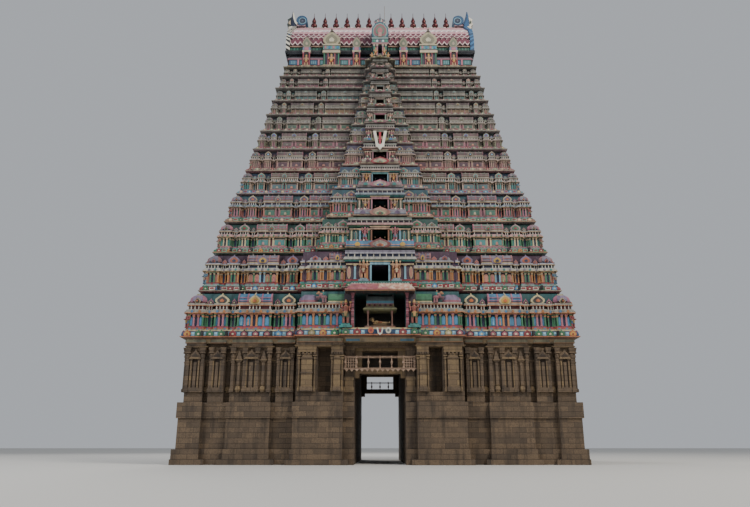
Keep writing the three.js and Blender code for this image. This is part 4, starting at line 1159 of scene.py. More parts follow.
def fill_edge(bm, level, half, centre, face, look, s, h):
    """Both wings of one edge, with its narrow shrines in the gaps."""
    corner = wing_share(*CORNER_SHARES, level) * (CORNICE_X[level] - SETBACK)
    spans = wing_spans(level, half, centre)
    last = half - corner
    for number, (kind, far, near) in enumerate(spans):
        width = (far - near) / 2
        long_row = 4 if 2 <= level < 8 else 2 * max(3 if s > 0.6 else 2, round(width / (0.62 * s) / 2))
        posts = {"gable": 4 if s > 0.4 else 3, "barrel": long_row, "little": 2}[kind]
        units = [
            (shrine_row_unit(width, 0.3, h, s, look, kind, posts, level * 10 + number), (far + near) / 2, 0.0)
        ]
        if last - far > 0.2 and kind != "little":
            gap = (last - far) / 2
            slim = shrine_row_unit(
                max(gap * 0.55, 0.07), 0.25, h, s * 0.85, look, "little", 2 if gap > 0.2 else 1, level
            )
            units.append((slim, (last + far) / 2, 0.26))
        for unit, x, back in units:
            for side in (-1, 1):
                put(bm, unit, (side * x, back - face, CORNICE_Z[level]))
            bpy.data.meshes.remove(unit)
        last = near


GUARD_PAINTS = [
    ("#8f4a48", "#3f5f80", "#a08658"), ("#55788c", "#7a4044", "#a89c84"), ("#966a5c", "#4a6a54", "#a89c84")
]
for level, look in enumerate(storey_looks):
    z, h = CORNICE_Z[level], HEIGHTS[level]
    s = h / HEIGHTS[0]
    x_face, y_face = CORNICE_X[level] - SETBACK, CORNICE_Y[level] - SETBACK
    number = f"{level + 1:02d}"
    front = new_mesh()
    corner = wing_share(*CORNER_SHARES, level) * x_face
    dome = corner_shrine(corner, h, s, look, level)
    for side in (-1, 1):
        put(front, dome, (side * (x_face - corner / 2), -y_face + corner / 2, z))
    if level < 6:
        guard = figure_unit(*GUARD_PAINTS[level % 3])
        for side in (-1, 1):
            put(
                front, guard, (side * (x_face + 0.08), -y_face - 0.08, z + 0.2 * h), side * pi / 5,
                (0.3 * h, 0.3 * h, 0.34 * h)
            )
        bpy.data.meshes.remove(guard)
    fill_edge(front, level, x_face, BAY_OUTER[level], y_face, look, s, h)
    finish_pair(front, f"storey_{number}_shrines", FRONT_BACK, [paint])
    flank = new_mesh()
    centre = 0.14 * CORNICE_Y[level]
    fill_edge(flank, level, y_face, centre, x_face, look, s, h)
    middle = shrine_row_unit(
        centre, 0.5, h, s, look, "barrel", 2 * max(2, round(centre / (0.55 * s) / 2)), level
    )
    shallow = min(1.0, 0.32 / (max(0.46 * s, 0.19) + 0.03))
    put(flank, middle, (0, -x_face - 0.27, z), 0.0, (1.0, shallow, 1.0))
    finish_pair(flank, f"storey_{number}_shrines", LEFT_RIGHT, [paint], turn=-pi / 2)
    # The wall behind the shrines takes its storey's dark tone, painted as the shade in the recesses.
    recess_shade_paint = lime_paint(f"recess_painted_shade_{number}", 0.5, 0.25, linear(look.recess))
    dress(recess_shade_paint, f"storey_{number}_walls")

# Central bays: the stepped bay round each doorway, with small towers, panels and pilasters, a framed door,
# and a pair of guardian figures on blocks. All of it is moulded stucco on the brick bay.
bay_looks = by_level(
    jamb=[
        "#9a5560", "#7fa9b8", "#9a6547", "#a4737b", "#7aa0ae", "#94606a", "#7a4a52", "#8aa08c", "#8d9a84",
        "#9a8478", "#8a9486", "#93806f"
    ],
    lintel=[
        PINK, "#7fa9b8", "#a98a74", "#a4737b", "#4f8585", "#8a8a78", "#a09a8a", PINK, "#8f7d72", "#85908a",
        "#94766c", "#7f8478"
    ],
    skin=[
        "#9a5a4c", "#c4906a", "#b0656c", "#a88a78", "#b88556", "#a8706a", "#b0787a", "#c79484", "#c4a090",
        "#c8a692", "#c8a898", "#c49c8c"
    ],
    cloth=["#5a6a48", "#8a3f3a", SKY, "#7a4a50", RED, TEAL, BLUE, GREEN, RED, OLIVE, RED, MAROON],
    trim=[
        "#b58f58", "#cbb48c", PINK, GOLD, GOLD, CREAM, CREAM, "#d8ceb4", "#dcd2ba", "#dcd2ba", "#e0d8c4",
        "#e0d8c4"
    ],
    kapota=[
        "#47799c", "#9fa5a0", "#4a7898", "#7f7680", "#8a6f74", "#9a907c", "#5f7f78", "#8a7570", "#74807a",
        "#86756c", "#727a72", "#7b7468"
    ],
    tower=[
        MAUVE, "#8a8f8c", "#7f9079", "#a0886c", "#7a8a94", "#8c8378", "#86807a", "#858078", "#827f76",
        "#807d73", "#7f7c71", "#7d7a6f"
    ],
    block=[TEAL, "#7c8a94", BLUE, SALMON, "#9a7a5a", LEAF, PINK, LEAF, GREY, GREY, GREY, GREY],
)


def ball(bm, centre, radii, code, around=10, rings=6):
    """A rounded form of given half sizes."""
    matrix = Matrix.Translation(centre) @ Matrix.Diagonal((*radii, 1.0))
    made = bmesh.ops.create_uvsphere(bm, u_segments=around, v_segments=rings, radius=1.0, matrix=matrix)
    tint(bm, {face for vert in made["verts"] for face in vert.link_faces}, code)


def spire_tower(half, h, s, look, tone, seed):
    """A slim shrine of the bay whose steep roof narrows in steps to a pot."""
    bm = new_mesh()
    front = shrine_row_unit(half, half, h, s, look, "none", 4 if s > 0.5 else 2, seed)
    for turn in (-pi / 2, 0.0, pi / 2):
        put(bm, front, (half * sin(turn), half - half * cos(turn), 0), turn)
    bpy.data.meshes.remove(front)
    cut = half * 0.3
    plan = [(cut - half, -half), (half - cut, -half), (half, cut - half), (half, half - cut)]
    plan = [(x, y + half) for x, y in plan + [(-x, -y) for x, y in plan]]
    steps = [
        (0.0, 0.7), (0.12, 0.72), (0.06, 0.77), (-0.2, 0.83), (-0.12, 0.84), (-0.42, 0.9), (-0.36, 0.91),
        (-0.7, 0.955)
    ]
    moulding(
        bm, plan, [(out * half, z * h) for out, z in steps],
        [look.beam, tone, tone, look.rib, tone, look.rib, tone]
    )
    gable(bm, half * 0.55, 0.72 * h, 0.86 * h, 0.14 * s, half * 0.5, look.ring, look.disc, look.heart)
    little_pot(bm, 0, half, 0.945 * h, 0.22 * s, look.ring)
    return as_unit(bm, "spire_tower")


def panel_wall(half, h, s, look):
    """The bay's wall beside a doorway: pilasters and a tall framed oval panel."""
    bm = new_mesh()
    bar(bm, 0, half, (-0.06 * s, 0.3), (0.19 * h, 0.62 * h), look.wall)
    block(bm, (-half - 0.03, -0.2 * s, 0.17 * h), (half, 0.3, 0.225 * h), look.lotus)
    posts = max(2, round(half * 2 / (0.5 * s + 0.1)))
    for i, x in even_row(half, posts):
        code = look.posts[i % 3]
        wide = half / posts * 0.62
        if i % 2 == 0 or s < 0.4:
            bar(bm, x, wide * 0.55, (-0.2 * s, 0.0), (0.225 * h, 0.54 * h), code)
            bar(bm, x, wide * 0.7, (-0.24 * s, 0.0), (0.225 * h, 0.255 * h), code)
            bar(bm, x, wide * 0.6, (-0.24 * s, 0.0), (0.54 * h, 0.575 * h), look.beam, taper=1.6)
        else:
            oval = [(cos(a) * wide, (0.39 + 0.15 * sin(a)) * h) for a in (i * tau / 10 for i in range(10))]
            prism(bm, [(x + u, v) for u, v in oval], "y", 0.0, -0.13 * s, look.frame)
            prism(
                bm, [(x + u * 0.72, 0.39 * h + (v - 0.39 * h) * 0.84) for u, v in oval], "y", 0.0, -0.17 * s,
                look.panel
            )
    bar(bm, 0, half, (-0.26 * s, 0.3), (0.572 * h, 0.6 * h), look.beam)
    return as_unit(bm, "panel_wall")


def leaping_beast():
    """A rearing lion-like bracket beast with a small rider, one metre tall, facing right."""
    bm = new_mesh()
    fur = "#8a5a5e"
    block(bm, (-0.36, -0.14, 0.0), (-0.22, 0.1, 0.36), fur, taper=0.8)
    block(bm, (-0.16, -0.16, 0.0), (-0.02, 0.06, 0.34), fur, taper=0.8)
    ball(bm, (-0.14, -0.05, 0.44), (0.28, 0.13, 0.15), fur, 8, 5)
    ball(bm, (0.1, -0.05, 0.58), (0.16, 0.12, 0.18), fur, 8, 5)
    ball(bm, (0.26, -0.06, 0.78), (0.13, 0.11, 0.13), "#a87a58", 8, 5)
    block(bm, (0.3, -0.12, 0.68), (0.44, 0.0, 0.78), "#a87a58")
    block(bm, (0.16, -0.14, 0.4), (0.46, -0.02, 0.48), fur)
    block(bm, (0.2, -0.02, 0.28), (0.44, 0.08, 0.36), fur)
    ball(bm, (-0.1, -0.06, 0.72), (0.09, 0.08, 0.15), TEAL, 7, 5)
    ball(bm, (-0.09, -0.07, 0.92), (0.06, 0.06, 0.07), "#b98a6a", 7, 5)
    block(bm, (-0.05, -0.12, 0.7), (0.14, -0.05, 0.76), "#b98a6a")
    return as_unit(bm, "leaping_beast")


beast = leaping_beast()
for level, (look, bay) in enumerate(zip(storey_looks, bay_looks)):
    z, h = CORNICE_Z[level], HEIGHTS[level]
    s = max(h / HEIGHTS[0], 0.34)
    outer, inner, door = BAY_OUTER[level], BAY_INNER[level], DOOR_HALF[level]
    y_wall = CORNICE_Y[level] - SETBACK + BAY_FORWARD[level]
    y_outer, y_inner = y_wall - 0.12, y_wall + 0.33
    front = new_mesh()
    wing = outer - inner
    cheek = shrine_row_unit(BAY_FORWARD[level] / 2, 0.2, h, s, look, "little", 3, level)
    for side in (-1, 1):
        put(front, cheek, (side * (outer + 0.02), -y_outer + BAY_FORWARD[level] / 2, z), side * pi / 2)
    if level == 0:
        units = [(shrine_row_unit(wing / 2, 0.3, h, s, look, "none", 8, 5), (outer + inner) / 2)]
        crown = new_mesh()
        for x, code in ((1.35, MAUVE), (-1.35, GREEN)):
            if code == MAUVE:
                plan = [(-0.5, -0.8), (0.5, -0.8), (0.8, -0.5), (0.8, 0.5)]
                plan = [(x + u, 0.55 + v) for u, v in plan + [(-u, -v) for u, v in plan]]
                steps = [(0.0, 3.38), (0.08, 3.6), (0.0, 3.9), (-0.2, 4.15), (-0.55, 4.35), (-0.7, 4.42)]
                moulding(crown, plan, steps, [PINK, MAUVE, MAUVE, MAUVE, PINK])
            else:
                section = [(0.3, 0.7), (-0.12, 0.7), (-0.26, 0.76), (-0.2, 0.83), (0.0, 0.89), (0.3, 0.92)]
                prism(crown, [(v, w * h) for v, w in section], "x", x - 0.8, x + 0.8, code, TEAL)
                bar(crown, x, 0.8, (-0.3, 0.1), (3.4, 3.5), CREAM)
        put(crown, beast, (0.05, -0.28, 0.69 * h), 0.0, 1.25)
        units.append((as_unit(crown, "bay_roofs"), (outer + inner) / 2))
    elif level == 1:
        units = [
            (spire_tower(0.66, h, s, look, bay.tower, 11), 6.55),
            (shrine_row_unit(0.3, 0.2, h, s * 0.9, look, "little", 2, 12), 5.48),
            (shrine_row_unit(0.8, 0.3, h, s, look, "barrel", 4, 13), 4.3)
        ]
    elif level < 7:
        units = [
            (spire_tower(wing * 0.19, h, s, look, bay.tower, level), outer - wing * 0.22),
            (shrine_row_unit(wing * 0.06, 0.2, h, s * 0.9, look, "little", 1, level), outer - wing * 0.49),
            (shrine_row_unit(wing * 0.2, 0.3, h, s, look, "gable", 3, level), inner + wing * 0.24)
        ]
    else:
        units = [(shrine_row_unit(wing * 0.42, 0.3, h, s, look, "gable", 3, level), inner + wing * 0.5)]
    for unit, x in units:
        for side in (-1, 1):
            put(
                front, unit, (side * x, -y_outer, z), 0.0,
                (side if level == 0 and unit.name.startswith("bay_roofs") else 1, 1, 1)
            )
        bpy.data.meshes.remove(unit)
    jamb = 0.32 if level == 0 else max(0.2 * s, 0.09)
    room = inner - door - jamb
    if level:
        wall = panel_wall(room / 2, h, s, look)
        for side in (-1, 1):
            put(front, wall, (side * (inner - room / 2), -y_inner, z), 0.0, (side, 1, 1))
            bar(
                front, side * (door + jamb / 2), jamb / 2, (-y_inner - 0.16, -y_inner + 0.6),
                (z + 0.18 * h, z + 0.58 * h), bay.jamb
            )
        lintel, span = door + jamb, inner + 0.12
        for half, out, back, low, high, code, taper in (
            (lintel, 0.2, 0.6, 0.58, 0.64, bay.lintel, 1.0),
            (lintel + 0.1, 0.28, 0.3, 0.64, 0.665, look.beam, 1.0),
            (door, 0.12, 0.6, 0.15, 0.175, look.base, 1.0),
            (span, 0.2 * s, 0.3, 0.66, 0.7, look.base, 1.0),
            (span + 0.2 * s, 0.36, 0.3, 0.7, 0.76, look.eave, 0.96),
            (span, 0.14, 0.3, 0.76, 0.84, look.neck, 1.0),
            (span, 0.3, 0.3, 0.84, 0.875, look.cap, 1.0),
            (span, 0.2, 0.3, 0.875, 0.93, look.roof, 1.0)
        ):
            bar(front, 0, half, (-y_inner - out, -y_inner + back), (z + low * h, z + high * h), code, taper)
        unit = baluster(0.08 * h, max(0.16 * s, 0.06), s > 0.6)
        count = max(4, round(span / ((0.36 if level < 4 else 0.2) * s)))
        for _, x in even_row(span, count):
            put(front, unit, (x, -y_inner - 0.2, z + 0.76 * h))
    stand = 3.32 if level == 0 else door + max(0.86 * s ** 0.5, jamb + 0.16)
    tall = (2.35, 1.95, 1.5, 1.25, 1.1, 1.05, 1.05, 1.0, 0.95, 0.85, 0.75, 0.66)[level]
    guardian = figure_unit(bay.skin, bay.cloth, bay.trim, lift=1.0)
    foot = z + 0.2 * h
    for side in (-1, 1):
        deep = 0.3 * tall
        at = -y_inner - 0.12 * tall
        bar(front, side * stand, 0.26 * tall, (at - deep * 0.5, at + deep), (z + 0.16 * h, foot), bay.block)
        bar(
            front, side * stand, 0.2 * tall, (at - deep * 0.4, at + deep), (foot, foot + 0.1 * tall),
            bay.block, taper=0.8
        )
        put(
            front, guardian, (side * stand, at, foot + 0.1 * tall), 0.0,
            (side * tall * (0.82 if level < 3 else 1.0), tall, tall)
        )
    bpy.data.meshes.remove(guardian)
    if level >= 2:
        y = bay_front(level)
        tall = BAND * h
        span = inner + 0.3
        section = [
            (-y + 0.5, z + 0.1), (-y - 0.02, z + 0.1), (-y - 0.05, z + tall * 0.5), (-y + 0.03, z + tall),
            (-y + 0.2, z + tall * 1.3), (-y + 0.5, z + tall * 1.3)
        ]
        prism(front, section, "x", -span, span, bay.kapota, look.rib)
        bar(front, 0, span, (-y - 0.07, -y), (z + tall * 0.36, z + tall * 0.52), look.eave)
        for side in (-1, 1):
            arch = [(side * span * 0.66 + u, v) for u, v in horseshoe(tall * 0.5, z + 0.12, z + tall * 0.95)]
            prism(front, arch, "y", -y + 0.2, -y - 0.12, look.ring, look.disc if level > 2 else GOLD)
        count = max(6, round(span / (0.16 * s + 0.04)))
        for i, x in even_row(span, count):
            if abs(x) > DOOR_HALF[level] + 0.28:
                bar(
                    front, x, span / count * 0.7, (-y + 0.12, -y + 0.3), (z + tall * 1.25, z + tall * 1.5),
                    (PINK, WHITE)[i % 2], taper=0.5
                )
    finish_pair(front, f"storey_{level + 1:02d}_bay", FRONT_BACK, [paint])

# Canopy over the lowest doorway: a hipped lean-to of clay tiles in courses on two carved and painted posts.
# It leans on the bay above the opening, and its top covers the edge of the second cornice.
tile_paint = lime_paint("painted_canopy_tile", 0.4, 0.1)
canopy = new_mesh()
bar(canopy, 0, 3.4, (-15.0, -13.81), (16.07, 16.18), "#9c6f4c")
# The underside boards are painted dark brown, as the shade under the canopy.
bar(canopy, 0, 3.36, (-14.96, -13.82), (16.05, 16.08), "#2c2120")
known = set(canopy.verts)
bar(canopy, 0, 3.38, (-14.97, -14.01), (16.17, 16.96), "#8a4c56")
for vert in canopy.verts:
    if vert not in known and vert.co.z > 16.5:
        vert.co.x *= 2.8 / 3.38
        vert.co.y = -14.14 if vert.co.y < -14.5 else -14.01
for row in range(6):
    a, b = row / 6, (row + 1.2) / 6
    near, far = ((-15.0 + 0.86 * t, 16.17 + 0.8 * t) for t in (a, min(b, 1.0)))
    section = [
        (near[0], near[1] - 0.02), (far[0], far[1] - 0.04), (far[0], far[1]), (near[0], near[1] + 0.06)
    ]
    edge = 3.4 - 0.6 * a
    count = 20
    for i in range(count):
        x = -edge + (i + (0.5 if row % 2 else 0.0)) * 2 * edge / count
        tone = random.Random(row * 31 + i)
        # Tiles toward the right are painted paler, as sunlight on that side of the canopy.
        pale = x > 0.9 - 0.25 * row
        code = tone.choice(
            ["#d2a58c", "#d8b49a", "#c98f7c", "#e0cbb8"] if pale
            else ["#a8616a", "#9a5560", "#b5757a", "#a86a62"]
        )
        prism(canopy, section, "x", x, min(x + 1.9 * edge / count, edge), code)
bar(canopy, 0, 2.84, (-14.17, -14.01), (16.92, 17.0), "#b98a80")
for side in (-1, 1):
    turned(
        canopy, [(0.0, 16.72), (0.12, 16.78), (0.05, 16.9), (0.0, 17.0)], 6, WHITE,
        centre=(side * 2.86, -14.14)
    )
bar(canopy, 0, 0.2, (-14.8, -14.5), (16.34, 16.72), "#c7a08a", taper=0.4)
# Rafters under the eave, painted dark as shade.
for i in range(9):
    x = -3.2 + 0.8 * i
    bar(canopy, x, 0.05, (-14.94, -13.84), (15.98, 16.06), "#4a2c28")
for side in (-1, 1):
    x = side * 2.66
    bar(canopy, x, 0.16, (-14.12, -13.8), (12.6, 13.0), "#7a3f44")
    bar(canopy, x, 0.12, (-14.09, -13.8), (13.0, 15.8), "#94525e")
    for i in range(9):
        w = 13.1 + i * 0.29
        bar(canopy, x, 0.14, (-14.12, -13.8), (w, w + 0.08), ("#a8606c", "#b5808a", MAROON)[i % 3])
    bar(canopy, x, 0.13, (-14.1, -13.8), (15.76, 16.06), "#8a4a56", taper=1.6)
    bar(canopy, side * 3.15, 0.35, (-13.95, -13.7), (12.6, 16.02), "#3a3038")
canopy_piece, other = finish_pair(canopy, "canopy_and_posts", FRONT_BACK, [tile_paint])
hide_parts("door_canopy_front")
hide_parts("door_canopy_back")

# Shrine in the front doorway: four brown posts carry an olive eave and a grey-blue vault over a figure
# that lies on a coiled couch, gilded and dulled by lamp smoke.
shrine = new_mesh()
floor, middle = 12.6, -12.85
bar(shrine, 0, 1.5, (middle - 0.75, middle + 0.75), (floor, floor + 0.28), "#6a4a3c")
bar(shrine, 0, 1.4, (middle - 0.66, middle - 0.76), (floor + 0.1, floor + 0.2), "#8a6a4c")
for x in (-1.18, 1.18):
    for y in (-0.63, 0.63):
        post = [
            (0.0, 12.8), (0.11, 12.85), (0.11, 13.0), (0.065, 13.1), (0.065, 14.0), (0.1, 14.1), (0.12, 14.3),
            (0.14, 14.4), (0.0, 14.4)
        ]
        turned(shrine, post, 6, "#7a5548", centre=(x, middle + y))
plan = [(-1.55, middle - 0.8), (1.55, middle - 0.8), (1.55, middle + 0.8), (-1.55, middle + 0.8)]
steps = [(-0.06, 14.38), (0.1, 14.5), (0.12, 14.56), (0.02, 14.66), (-0.2, 14.82), (-0.22, 14.92)]
moulding(shrine, plan, steps, ["#6d6c4c", "#8a8662", "#8a8662", "#7d7a5c", BROWN])
for i in range(11):
    x = -1.3 + 0.26 * i
    bar(shrine, x, 0.07, (middle - 0.64, middle + 0.64), (14.86, 15.04), ("#8a8058", "#5a2c2c")[i % 2])
bar(shrine, 0, 1.36, (middle - 0.66, middle + 0.66), (15.04, 15.12), "#8f5a60")
vault = [
    (0.62, 15.1), (0.62, 15.4), (0.34, 15.86), (0.1, 16.0), (-0.1, 16.0), (-0.34, 15.86), (-0.62, 15.4),
    (-0.62, 15.1)
]
prism(shrine, [(middle + v, w) for v, w in vault], "x", -1.34, 1.34, "#646c6c", "#5a4a44")
bar(shrine, 0, 1.35, (middle - 0.64, middle + 0.64), (15.12, 15.38), "#4a7f90")
# Near-black wedges beside the vault's top: painted shade of the dark doorway behind.
for side in (-1, 1):
    prism(
        shrine, [(side * 1.36, 15.38), (side * 1.36, 16.02), (side * 1.16, 16.02)], "y", middle - 0.66,
        middle + 0.66, "#141416"
    )
shrine_piece = finish_piece(shrine, "shrine_with_vault", [paint])
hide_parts("doorway_shrine")
lying = new_mesh()
gold, dull = "#a5875a", "#7a6444"
bar(lying, 0, 1.05, (middle - 0.35, middle + 0.35), (12.885, 12.95), "#5f4a38")
for i in range(3):
    ball(lying, (0.02 * i, middle, 13.0 + 0.09 * i), (1.02 - 0.07 * i, 0.34 - 0.03 * i, 0.075), dull, 14, 6)
ball(lying, (0.5, middle - 0.08, 13.3), (0.46, 0.13, 0.1), gold)
ball(lying, (0.02, middle - 0.06, 13.33), (0.3, 0.16, 0.13), "#8a5a3c")
ball(lying, (-0.33, middle - 0.06, 13.38), (0.24, 0.18, 0.16), gold)
ball(lying, (-0.68, middle - 0.06, 13.45), (0.13, 0.12, 0.13), gold)
turned(
    lying, [(0.0, 13.5), (0.13, 13.52), (0.1, 13.62), (0.04, 13.74), (0.0, 13.75)], 8, "#b8965c",
    centre=(-0.74, middle - 0.04)
)
ball(lying, (-0.5, middle - 0.2, 13.22), (0.2, 0.06, 0.06), gold, 8, 5)
ball(lying, (0.94, middle - 0.08, 13.34), (0.06, 0.09, 0.11), gold, 8, 5)
for i in range(5):
    angle = radians(40 + 28 * i)
    ball(
        lying, (-0.78 + 0.2 * cos(angle), middle + 0.12, 13.5 + 0.26 * sin(angle)), (0.09, 0.05, 0.12), dull,
        8, 5
    )
lying_piece = finish_piece(lying, "reclining_figure_on_couch", [paint])
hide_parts("reclining_figure")

# Neck below the roof: a moulded platform with blue-green panels in pink frames, a recessed wall with slim
# pilasters and a thin eave, all stucco on brick. The wall, the roof's floor and the eave's underside are
# painted near black as shade.
roof_paint = lime_paint("painted_roof_stucco", 0.16, 0.04)
neck_shade_paint = lime_paint("neck_stucco_painted_shade", 0.6, 0.0, linear("#0a0f18"))
dress(neck_shade_paint, "neck_walls", "roof_floor")
VEDI, NECK, EAVE, ROOF_FOOT = 46.34, 47.75, 48.6, 48.85
DORMERS = [(2.9, 0.47, 50.9), (6.0, 1.0, 51.7), (9.1, 0.47, 50.9)]
neck = new_mesh()
for side in range(4):
    long_side = side % 2 == 0
    half, face = (11.35, 6.0) if long_side else (6.0, 11.35)
    row = new_mesh()
    bar(row, 0, half, (-face - 0.06, -face + 0.2), (VEDI, VEDI + 0.18), "#8f7f64")
    bar(row, 0, half, (-face - 0.03, -face + 0.2), (VEDI + 0.18, VEDI + 0.3), "#7d6050")
    count = 18 if long_side else 9
    for i, x in even_row(half, count):
        wide = half / count * 0.74
        bar(
            row, x, wide, (-face - 0.05, -face + 0.2), (VEDI + 0.36, NECK - 0.42),
            "#3c6a68" if i % 2 else "#3a5c78"
        )
        for u in (-0.45, 0.0, 0.45):
            bar(
                row, x + u * wide, 0.05, (-face - 0.09, -face), (VEDI + 0.42, NECK - 0.5), "#6d96a0",
                taper=0.8
            )
        x += half / count
        if i < count - 1:
            bar(row, x, 0.1, (-face - 0.1, -face + 0.2), (VEDI + 0.3, NECK - 0.36), PINK)
    bar(row, 0, half, (-face - 0.12, -face + 0.2), (NECK - 0.36, NECK - 0.18), "#8a5f6a")
    bar(row, 0, half, (-face - 0.1, -face + 0.2), (NECK - 0.18, NECK + 0.02), "#38323a", taper=0.99)
    inner, wall = (11.1, 5.2) if long_side else (5.2, 11.1)
    for i, x in even_row(inner, count):
        bar(row, x, 0.07, (-wall - 0.1, -wall + 0.1), (NECK, EAVE), "#232c42")
    bar(row, 0, inner, (-wall - 0.06, -wall + 0.1), (NECK + 0.3, NECK + 0.42), "#1f2c44")
    edge, lip = (11.8, 5.9) if long_side else (5.9, 11.8)
    # The underside of the eave is painted near black, as the shade under it.
    bar(row, 0, edge - 0.02, (-lip + 0.03, -lip + 0.4), (EAVE - 0.08, EAVE + 0.14), "#0d161e")
    bar(row, 0, edge - 0.01, (-lip + 0.01, -lip + 0.4), (EAVE + 0.14, EAVE + 0.26), "#8a8c76")
    bar(row, 0, edge - 0.2, (-lip + 0.1, -lip + 0.5), (EAVE - 0.2, EAVE - 0.08), "#1c1f2a")
    unit = as_unit(row, "neck_row")
    put(neck, unit, (0, 0, 0), side * pi / 2)
    bpy.data.meshes.remove(unit)
finish_piece(neck, "neck_mouldings", [roof_paint])

# Barrel roof: a brick vault under rows of pointed stucco scales, painted pink with a cream belt half way up,
# and maroon in pink edges above the green foot band. The scales lap downward.
ROOF_SECTION = [(5.45, 0), (5.65, 1.2), (5.3, 2.5), (4.4, 3.75), (3.1, 4.8), (1.6, 6.05), (0.35, 7.15)]


def roof_point(share):
    """A point (y, z) and the upward direction on the roof's section, at a share of its run from the foot."""
    points = [Vector(p) for p in ROOF_SECTION]
    lengths = [(b - a).length for a, b in zip(points, points[1:])]
    left = min(max(share, 0.0), 1.0) * sum(lengths)
    i = 0
    while i < len(lengths) - 1 and left > lengths[i]:
        left -= lengths[i]
        i += 1
    share = left / lengths[i]
    before, after = points[max(i - 1, 0)], points[min(i + 2, len(points) - 1)]
    a, b = points[i], points[i + 1]
    first, last = (b - before) / 2, (after - a) / 2
    t, tt, ttt = share, share**2, share**3
    here = a * (2 * ttt - 3 * tt + 1) + first * (ttt - 2 * tt + t)
    here = here + b * (3 * tt - 2 * ttt) + last * (ttt - tt)
    return here, (b - a).normalized()


def scale_unit(wide, tall, edge, middle):
    """A pointed plate that hangs from z = 0 and faces -Y."""
    bm = new_mesh()
    leaf = [(-0.5, 0.0), (-0.5, -0.55), (0.0, -1.0), (0.5, -0.55), (0.5, 0.0)]
    prism(bm, [(x * wide, z * tall) for x, z in leaf], "y", 0.06, -0.05, edge)
    prism(bm, [(x * wide * 0.74, z * tall * 0.82 - tall * 0.04) for x, z in leaf], "y", 0.0, -0.085, middle)
    return as_unit(bm, "roof_scale")


scales = new_mesh()
ROOF_LENGTH = 22.5
SCALE_ROWS, SCALE_COLUMNS = 18, 35
pitch = ROOF_LENGTH / SCALE_COLUMNS
units = [
    scale_unit(pitch * 0.98, 0.95, edge, middle)
    for edge, middle in (("#e8cfcc", "#6e3042"), ("#ffffff", "#cc989e"), ("#ffffff", "#efe6e0"))
]
for row in range(SCALE_ROWS):
    place, up = roof_point(0.155 + 0.845 * (row + 0.6) / SCALE_ROWS)
    unit = units[0 if row < 4 else 1 if row < 7 or row > 10 else 2]
    lean = atan2(up.x, up.y)
    for column in range(SCALE_COLUMNS + row % 2):
        x = (column + 0.5 - (row % 2) * 0.5 - SCALE_COLUMNS / 2) * pitch
        if abs(x) > 11.0:
            continue
        for side in (0, 1):
            copy = unit.copy()
            spin = Matrix.Rotation(side * pi, 4, "Z")
            seat = Matrix.Translation((x, -place.x - 0.03, ROOF_FOOT + place.y))
            copy.transform(spin @ (seat @ Matrix.Rotation(lean, 4, "X")))
            scales.from_mesh(copy)
            bpy.data.meshes.remove(copy)
for side in (-1, 1):
    for low, high, out, code in (
        (0.0, 0.1, 0.12, "#a99b80"), (0.1, 0.62, 0.05, "#1f4a42"), (0.62, 0.72, 0.14, "#b08a78")
    ):
        y = 5.5 + 0.17 * low
        near, far = sorted((side * (y - 0.3), side * (y + out)))
        bar(scales, 0, 11.3, (near, far), (ROOF_FOOT + low, ROOF_FOOT + high), code)
    for i in range(56):
        x = -11.1 + i * 0.4036
        near, far = sorted((side * 5.4, side * 5.64))
        bar(scales, x, 0.12, (near, far), (ROOF_FOOT + 0.16, ROOF_FOOT + 0.54), "#2f6a58", taper=0.6)
finish_piece(scales, "roof_scales", [roof_paint])
vault_paint = lime_paint("painted_vault_under_scales", 0.5, 0.1, linear("#5a3a40"))
dress(vault_paint, "roof_vault")

# Dormers: gabled niches in a row before the neck and the roof's foot, the middle ones larger, and a tall
# central one over the top doorway. Each has small columns, a figure and a pointed horseshoe gable.
attendant = figure_unit("#b98f6c", RED, GOLD)


def small_dormer(half, top):
    """A dormer whose face is y = 0, on the neck's platform."""
    bm = new_mesh()
    bar(bm, 0, half, (-0.02, 0.6), (VEDI, EAVE - 0.1), "#2a2228")
    for side in (-1, 1):
        bar(bm, side * half * 0.8, 0.07, (-0.12, 0.1), (VEDI, EAVE - 0.35), "#8f3a42")
        bar(bm, side * half * 0.8, 0.09, (-0.14, 0.1), (EAVE - 0.4, EAVE - 0.2), PINK, taper=1.3)
    bar(bm, 0, half + 0.05, (-0.16, 0.1), (VEDI, VEDI + 0.2), "#9a8a6c")
    put(bm, attendant, (0, -0.06, VEDI + 0.2), 0.0, (1.5, 0.7, 1.5))
    bar(bm, 0, half + 0.06, (-0.18, 0.3), (EAVE - 0.2, EAVE), "#b5a98c")
    bar(bm, 0, half, (-0.1, 0.6), (EAVE, EAVE + 0.5), "#6f7f96")
    bar(bm, 0, half * 0.55, (-0.14, 0.0), (EAVE + 0.06, EAVE + 0.44), PINK)
    gable(
        bm, half * (1.0 if half > 0.6 else 1.12), EAVE + 0.5, top - 0.1, 0.12, 0.6, "#8f8672", "#6f7460",
        "#a89a86"
    )
    little_pot(bm, 0, 0.1, top - 0.2, 0.24, "#4a4034")
    return as_unit(bm, "small_dormer")


